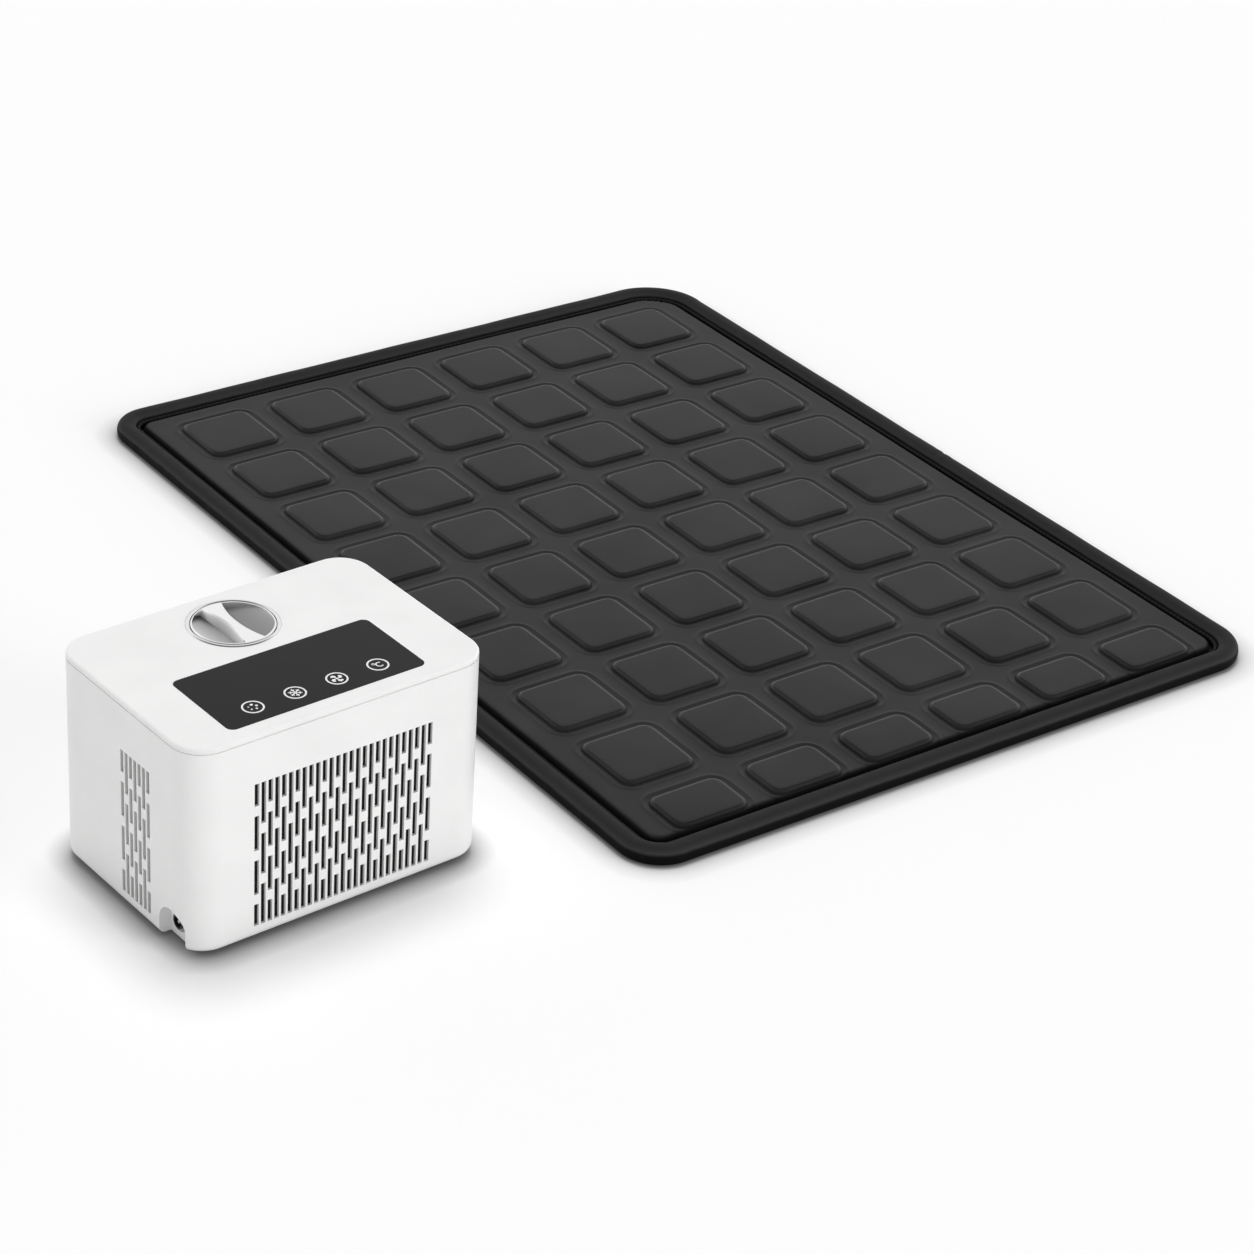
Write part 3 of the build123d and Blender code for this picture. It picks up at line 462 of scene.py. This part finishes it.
def mat_base():
    """Non-slip sheet under the mat."""
    points, outward, _ = edge_path(ROLL_WIDTH, 12.0, 10)
    count = len(points)
    rings = []
    for inward, height in ((0.3, 0.0), (0.0, 0.3), (0.0, BASE_TOP)):
        plan = points - outward * inward
        rings.append(np.column_stack([plan, np.full(count, height)]))
    faces = [tuple(reversed(range(count))), tuple(range(2 * count, 3 * count))]
    for level in range(2):
        for k in range(count):
            a = level * count + k
            b = level * count + (k + 1) % count
            faces.append((a, b, b + count, a + count))
    return mesh_object("mat_base", np.vstack(rings), faces, smooth=False)


# Dust screens behind the grilles, guessed dark sheets that also stand in for the shade inside the unit


def dust_screen(name, width, wall, turn, middle):
    """Pleated screen behind one grille, drawn for the front wall and turned to its own."""
    count = 2 * round(width / PLEAT / 2)
    points = []
    for layer in (0, SCREEN_THICK):
        for i in range(count + 1):
            along = middle + width * (i / count - 0.5)
            depth = SCREEN_DEPTH + layer + PLEAT_DEPTH * (i % 2)
            points += [(along, depth - wall, SCREEN_LOW), (along, depth - wall, SCREEN_HIGH)]
    back = 2 * (count + 1)
    faces = [(0, 1, back + 1, back), (back - 2, 2 * back - 2, 2 * back - 1, back - 1)]
    for i in range(count):
        a = 2 * i
        faces.append((a, a + 2, a + 3, a + 1))
        faces.append((back + a, back + a + 1, back + a + 3, back + a + 2))
        faces.append((a, back + a, back + a + 2, a + 2))
        faces.append((a + 1, a + 3, back + a + 3, back + a + 1))
    screen = mesh_object(name, points, faces, smooth=False)
    screen.data.transform(Matrix.Rotation(math.radians(turn), 4, "Z"))
    return mesh_object_at(screen, 0, 0)


def dust_screens():
    """Screens of the front, left and right grilles."""
    side_wall = UNIT_WIDTH / 2
    return [
        dust_screen("screen_front", FRONT_SCREEN, UNIT_DEPTH / 2, 0, 0),
        dust_screen("screen_left", SIDE_SCREEN, side_wall, -90, -SIDE_SCREEN_Y),
        dust_screen("screen_right", SIDE_SCREEN, side_wall, 90, SIDE_SCREEN_Y),
    ]


# Marks on the touch panel


def disc_outline(x, y, radius, count=20):
    """Round dot about a point."""
    return [
        (x + radius * math.cos(math.tau * i / count), y + radius * math.sin(math.tau * i / count))
        for i in range(count)
    ]


def bar_outline(start, end, width):
    """Straight stroke between two points."""
    along = (Vector(end) - Vector(start)).normalized()
    side = Vector((-along.y, along.x)) * width / 2
    return [tuple(Vector(p) + s * side) for p, s in ((start, -1), (end, -1), (end, 1), (start, 1))]


def arc_outline(radius, width, first, last, x=0.0, y=0.0, count=40):
    """Curved stroke about a centre between two angles in degrees."""
    angles = [math.radians(first + (last - first) * i / count) for i in range(count + 1)]
    outer = [(x + (radius + width / 2) * math.cos(a), y + (radius + width / 2) * math.sin(a)) for a in angles]
    inner = [(x + (radius - width / 2) * math.cos(a), y + (radius - width / 2) * math.sin(a)) for a in angles]
    return outer, inner


def polar(radius, degrees):
    """Point at a distance and an angle from the middle."""
    return (radius * math.cos(math.radians(degrees)), radius * math.sin(math.radians(degrees)))


def dots_mark():
    """Dots that grow round a circle, for the heat level."""
    return [disc_outline(*polar(2.3, 150 + 72 * i), 0.42 + 0.11 * i) for i in range(5)]


def flake_mark():
    """Snowflake, for cooling."""
    strokes = []
    for i in range(6):
        turn = 30 + 60 * i
        strokes.append(bar_outline(polar(0.2, turn), polar(3.7, turn), 0.6))
        knee = polar(2.0, turn)
        for side in (-1, 1):
            tip = Vector(knee) + Vector(polar(1.25, turn + side * 55))
            strokes.append(bar_outline(knee, tuple(tip), 0.5))
    return strokes


def fan_mark():
    """Fan with four curved blades."""
    blades = [disc_outline(0, 0, 0.7)]
    for i in range(4):
        turn = 20 + 90 * i
        blades.append(
            [polar(0.9, turn - 28), polar(2.4, turn - 34), polar(3.6, turn - 12), polar(3.7, turn + 16),
             polar(3.0, turn + 30), polar(1.9, turn + 8), polar(0.9, turn + 4)]
        )
    return blades


def mark_mesh(name, outlines, arcs, low, high):
    """Thin raised print from filled outlines and curved strokes."""
    points = []
    faces = []
    for n, outline in enumerate(outlines):
        top = high - 0.001 * n
        first = len(points)
        count = len(outline)
        points += [(x, y, top) for x, y in outline] + [(x, y, low) for x, y in outline]
        faces.append(tuple(range(first, first + count)))
        for k in range(count):
            a = first + k
            b = first + (k + 1) % count
            faces.append((a, a + count, b + count, b))
    for outer, inner in arcs:
        first = len(points)
        count = len(outer)
        for height in (high, low):
            points += [(x, y, height) for x, y in outer] + [(x, y, height) for x, y in inner]
        for k in range(count - 1):
            a = first + k
            i = a + count
            faces.append((a, a + 1, i + 1, i))
            faces.append((a + 1, a, a + 2 * count, a + 1 + 2 * count))
            faces.append((i, i + 1, i + 1 + 2 * count, i + 2 * count))
    return mesh_object(name, points, faces, smooth=False)


def key_marks():
    """Four ringed marks over the touch keys."""
    ring = arc_outline(KEY_RADIUS - KEY_STROKE / 2, KEY_STROKE, 0, 360, count=64)
    degree = arc_outline(0.75, 0.45, 0, 360, -1.9, 1.5, 20)
    letter = arc_outline(1.9, 0.7, 50, 310, 0.9, -0.2, 24)
    kinds = [
        ("key_mark_heat", dots_mark(), [ring]),
        ("key_mark_cool", flake_mark(), [ring]),
        ("key_mark_fan", fan_mark(), [ring]),
        ("key_mark_degree", [], [ring, degree, letter]),
    ]
    marks = []
    for i, (name, outlines, arcs) in enumerate(kinds):
        mark = mark_mesh(name, outlines, arcs, PANEL_TOP, PANEL_TOP + 0.04)
        marks.append(mesh_object_at(mark, PANEL_X + (i - 1.5) * KEY_PITCH, KEY_Y))
    return marks


def mesh_object_at(piece, x, y):
    """Sets a mesh drawn about its own origin at a place given in the unit's own frame."""
    turn = Matrix.Rotation(math.radians(UNIT_TURN), 4, "Z")
    place = Matrix.Translation((UNIT_X * MM, UNIT_Y * MM, 0)) @ turn
    piece.data.transform(place @ Matrix.Translation((x * MM, y * MM, 0)))
    return piece


# Materials


class Finish:
    """A procedural material while its nodes are put together."""

    def __init__(self, name, colour, roughness, **sockets):
        self.material = bpy.data.materials.new(name)
        self.material.use_nodes = True
        self.nodes = self.material.node_tree.nodes
        self.nodes.clear()
        self.shader = self.add("ShaderNodeBsdfPrincipled")
        self.shader.inputs["Base Color"].default_value = (*colour, 1)
        self.shader.inputs["Roughness"].default_value = roughness
        for socket, value in sockets.items():
            self.shader.inputs[socket.replace("_", " ")].default_value = value
        output = self.add("ShaderNodeOutputMaterial")
        self.join(self.shader.outputs["BSDF"], output.inputs["Surface"])
        coordinates = self.add("ShaderNodeTexCoord")
        self.place = coordinates.outputs["Object"]
        self.uv = coordinates.outputs["UV"]
        self.normal = None

    def add(self, kind, **settings):
        node = self.nodes.new(kind)
        for key, value in settings.items():
            setattr(node, key, value)
        return node

    def join(self, source, socket):
        self.material.node_tree.links.new(source, socket)

    def stretched(self, vector, scale):
        node = self.add("ShaderNodeMapping")
        node.inputs["Scale"].default_value = scale
        self.join(vector, node.inputs["Vector"])
        return node.outputs["Vector"]

    def noise(self, size, detail=2.0, stretch=(1, 1, 1), vector=None):
        """Noise whose grains are about size millimetres across."""
        node = self.add("ShaderNodeTexNoise")
        node.inputs["Scale"].default_value = 1 / (size * MM)
        node.inputs["Detail"].default_value = detail
        self.join(self.stretched(vector or self.place, stretch), node.inputs["Vector"])
        return node.outputs["Fac"]

    def cells(self, size, feature="F1", vector=None):
        """Distance inside cells of about size millimetres."""
        node = self.add("ShaderNodeTexVoronoi", feature=feature)
        node.inputs["Scale"].default_value = 1 / (size * MM)
        self.join(vector or self.place, node.inputs["Vector"])
        return node.outputs["Distance"]

    def waves(self, size, direction, vector=None):
        """Bands of about size millimetres across one direction."""
        node = self.add("ShaderNodeTexWave", bands_direction=direction)
        node.inputs["Scale"].default_value = 1 / (size * MM) / 3.183
        self.join(vector or self.place, node.inputs["Vector"])
        return node.outputs["Fac"]

    def height(self, low, high):
        """Runs from none at a height of low metres to one at high."""
        split = self.add("ShaderNodeSeparateXYZ")
        self.join(self.place, split.inputs["Vector"])
        return self.curve(split.outputs["Z"], low, high, 0, 1)

    def attribute(self, name):
        return self.add("ShaderNodeAttribute", attribute_name=name).outputs["Fac"]

    def curve(self, value, low, high, out_low, out_high):
        """Maps a range to another range."""
        node = self.add("ShaderNodeMapRange")
        limits = {"From Min": low, "From Max": high, "To Min": out_low, "To Max": out_high}
        for socket, number in limits.items():
            node.inputs[socket].default_value = number
        self.join(value, node.inputs["Value"])
        return node.outputs["Result"]

    def combine(self, operation, a, b):
        node = self.add("ShaderNodeMath", operation=operation)
        for value, socket in zip((a, b), node.inputs):
            if isinstance(value, (int, float)):
                socket.default_value = value
            else:
                self.join(value, socket)
        return node.outputs["Value"]

    def shade(self, factor, *stops):
        """Colours the surface by a factor, through (place, grey or colour) stops."""
        node = self.add("ShaderNodeValToRGB")
        ramp = node.color_ramp
        while len(ramp.elements) < len(stops):
            ramp.elements.new(0.5)
        for element, (place, colour) in zip(ramp.elements, stops):
            element.position = place
            element.color = (*colour, 1)
        self.join(factor, node.inputs["Fac"])
        self.join(node.outputs["Color"], self.shader.inputs["Base Color"])

    def vary_roughness(self, factor, low, high):
        self.join(self.curve(factor, 0.3, 0.7, low, high), self.shader.inputs["Roughness"])

    def relief(self, height, depth, strength=1.0):
        """Bumps of depth millimetres on top of those already there."""
        node = self.add("ShaderNodeBump")
        node.inputs["Strength"].default_value = strength
        node.inputs["Distance"].default_value = depth * MM
        self.join(height, node.inputs["Height"])
        if self.normal is not None:
            self.join(self.normal, node.inputs["Normal"])
        self.normal = node.outputs["Normal"]
        self.join(self.normal, self.shader.inputs["Normal"])


def grey(level, warmth=0.0):
    """Grey colour, a little towards yellow when warm."""
    return (level * (1 + warmth), level, level * (1 - warmth))


def tones(colour, spread):
    """Darker and lighter stops about a colour."""
    return (0.3, tuple(c * (1 - spread) for c in colour)), (0.7, tuple(c * (1 + spread) for c in colour))


def padded_sheet():
    """Dark satin sheet: fine leather grain, paler on the tiles' shoulders as wear and as a painted highlight,
    and darker in the creases at the tiles' feet and down the sheet's edge as painted shade.
    """
    f = Finish("padded sheet", grey(0.014), 0.5, Specular_IOR_Level=0.28)
    # Paler shoulders: wear, and a painted highlight along the tiles' edges.
    wear_and_highlight = f.combine("MULTIPLY", f.attribute("shoulder"), f.noise(9, 3))
    tone = f.combine("MULTIPLY_ADD", wear_and_highlight, 0.15)
    f.join(f.noise(60, 3), tone.node.inputs[2])
    # Painted shade: darker in the crease at each tile's foot and where the sheet's edge runs down into the
    # groove.
    foot = f.combine("MULTIPLY", f.attribute("crease"), 0.6)
    hollow = f.combine("MAXIMUM", foot, f.attribute("rim"))
    tone = f.combine("SUBTRACT", tone, f.combine("MULTIPLY", hollow, 0.6))
    f.shade(tone, (0.0, grey(0.002)), (0.3, grey(0.011)), (0.5, grey(0.015)), (0.9, grey(0.024)))
    dull = f.curve(hollow, 0.2, 0.9, 0.5, 0.95)
    polished = f.combine("MULTIPLY", f.attribute("shoulder"), 0.3)
    f.join(f.combine("SUBTRACT", dull, polished), f.shader.inputs["Roughness"])
    f.relief(f.cells(0.9, "SMOOTH_F1"), 0.05, 0.5)
    f.relief(f.noise(0.35, 2), 0.02, 0.5)
    return f.material


def roll_fabric():
    """Dark knitted binding, drawn into faint cross folds, with painted light: paler along a band on its top
    and darker down its sides to the floor.
    """
    f = Finish("roll fabric", grey(0.008), 0.6, Specular_IOR_Level=0.06, Sheen_Weight=0.01)
    # Painted light and shade: the colour gets lighter with height, darkest at the foot and palest just under
    # the top.
    level = f.height(3 * MM, ROLL_HEIGHT * MM)
    tone = f.combine("ADD", level, f.combine("MULTIPLY", f.noise(14, 3), 0.12))
    f.shade(tone, (0.3, grey(0.0015)), (0.52, grey(0.004)), (0.72, grey(0.038)), (1.0, grey(0.022)))
    f.vary_roughness(f.noise(9, 2), 0.55, 0.65)
    f.relief(f.noise(5, 2, (1, 0.25, 1), f.uv), 0.25, 0.35)
    rib_a = f.waves(0.8, "X", f.uv)
    rib_b = f.waves(0.8, "Y", f.uv)
    f.relief(f.combine("MULTIPLY", rib_a, rib_b), 0.07, 0.6)
    return f.material


def piping_fabric():
    """Black cord cover with the stitches that hold it."""
    f = Finish("piping fabric", grey(0.01), 0.7, Specular_IOR_Level=0.15)
    stitch = f.waves(3.2, "X", f.uv)
    f.shade(stitch, (0.15, grey(0.006)), (0.4, grey(0.014)))
    f.relief(stitch, 0.25, 0.6)
    return f.material


def grip_rubber(name, colour, cell):
    """Black rubber with a pattern of small grip dots."""
    f = Finish(name, colour, 0.8, Specular_IOR_Level=0.25)
    f.shade(f.noise(18, 3), *tones(colour, 0.2))
    f.relief(f.curve(f.cells(cell), 0.15, 0.3, 1, 0), 0.3, 0.6)
    f.relief(f.noise(0.4, 2), 0.03, 0.5)
    return f.material


def moulded(name, colour, roughness, grain=0.35, depth=0.012, spread=0.02, **sockets):
    """Moulded plastic: even colour with a fine spark-eroded texture."""
    f = Finish(name, colour, roughness, **sockets)
    f.shade(f.noise(30, 3), *tones(colour, spread))
    f.vary_roughness(f.noise(4, 2), roughness - 0.04, roughness + 0.05)
    f.relief(f.noise(grain, 2), depth, 0.5)
    return f.material


def dust_screen_cloth():
    """Black woven screen, put behind the grilles as painted shade for their slots."""
    f = Finish("dust and shade screen", grey(0.01), 0.85, Specular_IOR_Level=0.2)
    weave = f.combine("MULTIPLY", f.waves(0.9, "X"), f.waves(0.9, "Z"))
    f.shade(weave, (0.1, grey(0.006)), (0.6, grey(0.014)))
    f.relief(weave, 0.1, 0.6)
    return f.material


def gloss_panel():
    """Smoked glossy panel, faintly uneven as moulded acrylic is."""
    f = Finish("gloss panel", grey(0.004), 0.16, Specular_IOR_Level=0.15)
    f.shade(f.noise(26, 2), *tones(grey(0.004), 0.12))
    f.vary_roughness(f.noise(7, 2), 0.14, 0.2)
    f.relief(f.noise(9, 1), 0.01, 0.3)
    return f.material


def brushed_metal(name, colour, roughness, stretch, grain=0.25, depth=0.01, **sockets):
    """Metal with fine lines drawn along one direction."""
    f = Finish(name, colour, roughness, Metallic=1.0, **sockets)
    lines = f.noise(grain, 3, stretch)
    f.shade(lines, *tones(colour, 0.05))
    f.vary_roughness(lines, roughness - 0.05, roughness + 0.07)
    f.relief(lines, depth, 0.4)
    return f.material


def cap_metal():
    """Satin cap: grey in its two hollows as painted shade and pale on its crest and rim as painted highlight;
    rougher in the hollows and polished on its crest and rim.
    """
    f = Finish("satin cap", grey(0.6), 0.22, Metallic=1.0)
    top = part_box("filler_cap")[1][2]
    # Painted shade and highlight: the colour runs from dark grey in the hollows to near white at the top.
    level = f.height(top - 3.6 * MM, top)
    lines = f.noise(0.12, 3, (1, 0.05, 1))
    tone = f.combine("ADD", level, f.combine("MULTIPLY", lines, 0.12))
    f.shade(tone, (0.1, grey(0.36)), (0.7, grey(0.6)), (1.0, grey(0.93)))
    f.join(f.curve(level, 0.6, 1.0, 0.3, 0.16), f.shader.inputs["Roughness"])
    f.relief(lines, 0.002, 0.4)
    return f.material


def circuit_board():
    """Green board with copper tracks under its lacquer."""
    f = Finish("circuit board", (0.02, 0.12, 0.05), 0.4)
    tracks = f.cells(3.5, "DISTANCE_TO_EDGE")
    f.shade(tracks, (0.02, (0.05, 0.2, 0.09)), (0.06, (0.015, 0.09, 0.035)))
    f.relief(f.curve(tracks, 0.02, 0.06, 1, 0), 0.03, 0.5)
    return f.material


def ceramic():
    """White alumina plate with a sintered grain."""
    f = Finish("ceramic", grey(0.75), 0.5)
    f.shade(f.noise(0.8, 3), *tones(grey(0.76), 0.05))
    f.relief(f.noise(0.2, 2), 0.01, 0.5)
    return f.material


def clear_hose():
    """Milky soft tube."""
    f = Finish("clear hose", (0.62, 0.66, 0.68), 0.3, Transmission_Weight=0.35, IOR=1.42)
    f.shade(f.noise(8, 2), *tones((0.62, 0.66, 0.68), 0.06))
    f.vary_roughness(f.noise(2, 2), 0.26, 0.36)
    return f.material


def dress(material, *names):
    """Gives a material to CAD nodes."""
    for name in names:
        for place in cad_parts[name].material_slots:
            place.material = material


def dress_unit():
    """Materials of the unit's parts and of the mat's gland."""
    white = moulded("white plastic", grey(0.86, 0.003), 0.36, grain=0.4, depth=0.01)
    dress(white, "housing", "top_cover")
    dress(gloss_panel(), "touch_panel")
    dress(brushed_metal("bright ring", grey(0.82), 0.1, (1, 1, 1), depth=0.002), "filler_ring")
    dress(cap_metal(), "filler_cap")
    black = moulded("black moulding", grey(0.022), 0.5, grain=0.5, depth=0.02, spread=0.1)
    dress(black, "mat_hose_gland", "mat_hose_spigots", "supply_port", "return_port")
    dress(moulded("fan plastic", grey(0.02), 0.42, spread=0.08), "fan_frame", "fan_rotor")
    dress(moulded("jack plastic", grey(0.01), 0.4, spread=0.08), "dc_jack")
    tank = moulded("tank plastic", (0.7, 0.74, 0.76), 0.3, spread=0.03, Transmission_Weight=0.25)
    dress(tank, "water_tank", "tank_lid")
    dress(moulded("pump plastic", (0.03, 0.035, 0.045), 0.45, spread=0.08), "pump_volute", "pump_motor")
    dress(moulded("impeller plastic", (0.75, 0.75, 0.7), 0.4), "pump_impeller")
    dress(grip_rubber("seal rubber", grey(0.03), 1.6), "cap_seal", "tank_grommet")
    dress(grip_rubber("foot rubber", grey(0.035), 2.2), "rubber_feet")
    dress(circuit_board(), "control_board", "main_board")
    dress(ceramic(), "thermoelectric_modules")
    dress(clear_hose(), "hose_pump_to_block", "hose_block_to_supply")
    steel = brushed_metal("steel", grey(0.62), 0.32, (1, 1, 0.1))
    dress(steel, "fan_straps", "clamp_bars", "pump_shaft", "jack_pin")
    dress(brushed_metal("light steel", grey(0.42), 0.35, (1, 1, 1)), "jack_nut")
    dress(brushed_metal("bronze", (0.66, 0.43, 0.2), 0.4, (1, 1, 1)), "fan_bearing")
    dress(brushed_metal("aluminium", grey(0.75), 0.34, (0.1, 1, 1)), "heat_sink", "water_block")


# Mat and marks: pieces on the frame


def finish_piece(piece, material, body):
    """Gives a new piece its material, its body and the slot that it takes its finish from."""
    piece.data.materials.append(material)
    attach(piece, body)


def make_mat():
    """Soft goods of the mat, in place of its solids."""
    cover = mat_cover()
    finish_piece(cover, padded_sheet(), "base")
    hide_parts("mat_top_sheet", "mat_foam_layer", "mat_water_bladder")
    roll = mat_roll()
    finish_piece(roll, roll_fabric(), "base")
    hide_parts("mat_edge_roll")
    piping = mat_piping()
    finish_piece(piping, piping_fabric(), "base")
    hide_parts("mat_edge_piping")
    base = mat_base()
    finish_piece(base, grip_rubber("base sheet", grey(0.02), 9.0), "base")
    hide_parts("mat_bottom_sheet")


def make_marks():
    """White prints on the touch panel."""
    ink = moulded("white print", grey(0.85), 0.5, spread=0.01)
    for mark in key_marks():
        finish_piece(mark, ink, "base")


def make_shade_screens():
    """Guessed screens against dust, also dark sheets standing in for the shade inside the unit behind the
    grilles' slots.
    """
    cloth = dust_screen_cloth()
    for screen in dust_screens():
        finish_piece(screen, cloth, "base")


# Studio

AMBIENT = 0.78
WALL_HEIGHT = 0.45
CEILING_HEIGHT = 0.85
CEILING = 0.2
FLOOR_COLOUR = 0.92
FLOOR_GLOW = 0.05
# Reach in millimetres and strength of the floor's painted shadow near the objects.
CONTACT_REACH = 16.0
CONTACT_DEPTH = 1.3
FLOOR_REACH = 9000
LAMP_DISTANCE = 3
CAMERA_PLACE = (-1.17416, -1.50808, 1.03491)
CAMERA_YAW = 37.452
CAMERA_PITCH = 29.889
CAMERA_ROLL = 3.757
CAMERA_LENS = 100.48
CAMERA_SENSOR = 36


def ray_kind(tree, *kinds):
    """One for rays of any of these kinds."""
    path = tree.nodes.new("ShaderNodeLightPath")
    found = path.outputs[kinds[0]]
    for kind in kinds[1:]:
        node = tree.nodes.new("ShaderNodeMath")
        node.operation = "MAXIMUM"
        tree.links.new(found, node.inputs[0])
        tree.links.new(path.outputs[kind], node.inputs[1])
        found = node.outputs[0]
    return found


def blend(tree, factor, low, high, first=0.0, last=1.0, kind="LINEAR"):
    """Low up to the factor's first value and high from its last."""
    node = tree.nodes.new("ShaderNodeMapRange")
    node.interpolation_type = kind
    node.inputs["From Min"].default_value = first
    node.inputs["From Max"].default_value = last
    tree.links.new(factor, node.inputs["Value"])
    for value, socket in ((low, "To Min"), (high, "To Max")):
        if isinstance(value, float):
            node.inputs[socket].default_value = value
        else:
            tree.links.new(value, node.inputs[socket])
    return node.outputs["Result"]


def make_world():
    """Room with white walls and a dim ceiling, plain white behind the object."""
    world = bpy.data.worlds.new("studio")
    bpy.context.scene.world = world
    world.use_nodes = True
    tree = world.node_tree
    direction = tree.nodes.new("ShaderNodeTexCoord").outputs["Generated"]
    split = tree.nodes.new("ShaderNodeSeparateXYZ")
    tree.links.new(direction, split.inputs["Vector"])
    room = blend(tree, split.outputs["Z"], 1.0, CEILING, WALL_HEIGHT, CEILING_HEIGHT, "SMOOTHSTEP")
    background = tree.nodes["Background"]
    gloss = ray_kind(tree, "Is Glossy Ray", "Is Transmission Ray")
    share = blend(tree, gloss, AMBIENT, 1.0)
    lit = tree.nodes.new("ShaderNodeMath")
    lit.operation = "MULTIPLY"
    tree.links.new(room, lit.inputs[0])
    tree.links.new(share, lit.inputs[1])
    strength = blend(tree, ray_kind(tree, "Is Camera Ray"), lit.outputs[0], 1.0)
    background.inputs["Color"].default_value = (1, 1, 1, 1)
    tree.links.new(strength, background.inputs["Strength"])


def make_floor():
    """Plain white floor that keeps the object's shadow, its colour also darkened close round the objects as a
    painted shadow.
    """
    reach = FLOOR_REACH
    corners = [(-reach, -reach, 0), (reach, -reach, 0), (reach, reach, 0), (-reach, reach, 0)]
    floor = mesh_object("floor", corners, [(0, 1, 2, 3)], smooth=False)
    material = bpy.data.materials.new("floor")
    material.use_nodes = True
    tree = material.node_tree
    tree.nodes.clear()
    diffuse = tree.nodes.new("ShaderNodeBsdfDiffuse")
    # Painted shadow: ambient occlusion darkens the floor's colour near the objects.
    contact = tree.nodes.new("ShaderNodeAmbientOcclusion")
    contact.inputs["Distance"].default_value = CONTACT_REACH * MM
    soft = tree.nodes.new("ShaderNodeMath")
    soft.operation = "POWER"
    soft.inputs[1].default_value = CONTACT_DEPTH
    tree.links.new(contact.outputs["AO"], soft.inputs[0])
    tree.links.new(blend(tree, soft.outputs[0], 0.0, FLOOR_COLOUR), diffuse.inputs["Color"])
    glow = tree.nodes.new("ShaderNodeEmission")
    seen = ray_kind(tree, "Is Camera Ray", "Is Glossy Ray", "Is Transmission Ray")
    tree.links.new(blend(tree, seen, 0.0, FLOOR_GLOW), glow.inputs["Strength"])
    both = tree.nodes.new("ShaderNodeAddShader")
    output = tree.nodes.new("ShaderNodeOutputMaterial")
    tree.links.new(diffuse.outputs[0], both.inputs[0])
    tree.links.new(glow.outputs[0], both.inputs[1])
    tree.links.new(both.outputs[0], output.inputs["Surface"])
    floor.data.materials.append(material)


def make_lamp(name, azimuth, elevation, share, spread):
    """Distant soft lamp. share is how bright it makes a white surface that faces it."""
    lamp = bpy.data.lights.new(name, "SUN")
    lamp.energy = share * math.pi
    lamp.angle = math.radians(spread)
    holder = bpy.data.objects.new(name, lamp)
    holder.visible_glossy = False
    bpy.context.scene.collection.objects.link(holder)
    a = math.radians(azimuth)
    e = math.radians(elevation)
    towards = Vector((math.cos(a) * math.cos(e), math.sin(a) * math.cos(e), math.sin(e)))
    holder.location = towards * LAMP_DISTANCE
    holder.rotation_mode = "QUATERNION"
    holder.rotation_quaternion = towards.to_track_quat("Z", "Y")


def make_camera():
    """Camera fitted to the photograph's edges."""
    yaw, pitch, roll = (math.radians(a) for a in (CAMERA_YAW, CAMERA_PITCH, CAMERA_ROLL))
    forward = Vector((math.cos(pitch) * math.sin(yaw), math.cos(pitch) * math.cos(yaw), -math.sin(pitch)))
    level = Vector((math.cos(yaw), -math.sin(yaw), 0))
    upright = level.cross(forward)
    right = math.cos(roll) * level + math.sin(roll) * upright
    up = -math.sin(roll) * level + math.cos(roll) * upright
    data = bpy.data.cameras.new("camera")
    data.lens = CAMERA_LENS
    data.sensor_width = CAMERA_SENSOR
    data.clip_start = 0.05
    data.clip_end = 60
    camera = bpy.data.objects.new("camera", data)
    bpy.context.scene.collection.objects.link(camera)
    axes = Matrix((right, up, -forward)).transposed().to_4x4()
    camera.matrix_world = Matrix.Translation(CAMERA_PLACE) @ axes
    bpy.context.scene.camera = camera


make_mat()
dress_unit()
make_marks()
make_shade_screens()
make_world()
make_floor()
make_lamp("key", 62, 77, 0.54, 26)
make_lamp("fill", -62, 14, 0.27, 24)
make_camera()
bpy.context.scene.view_settings.view_transform = "Standard"
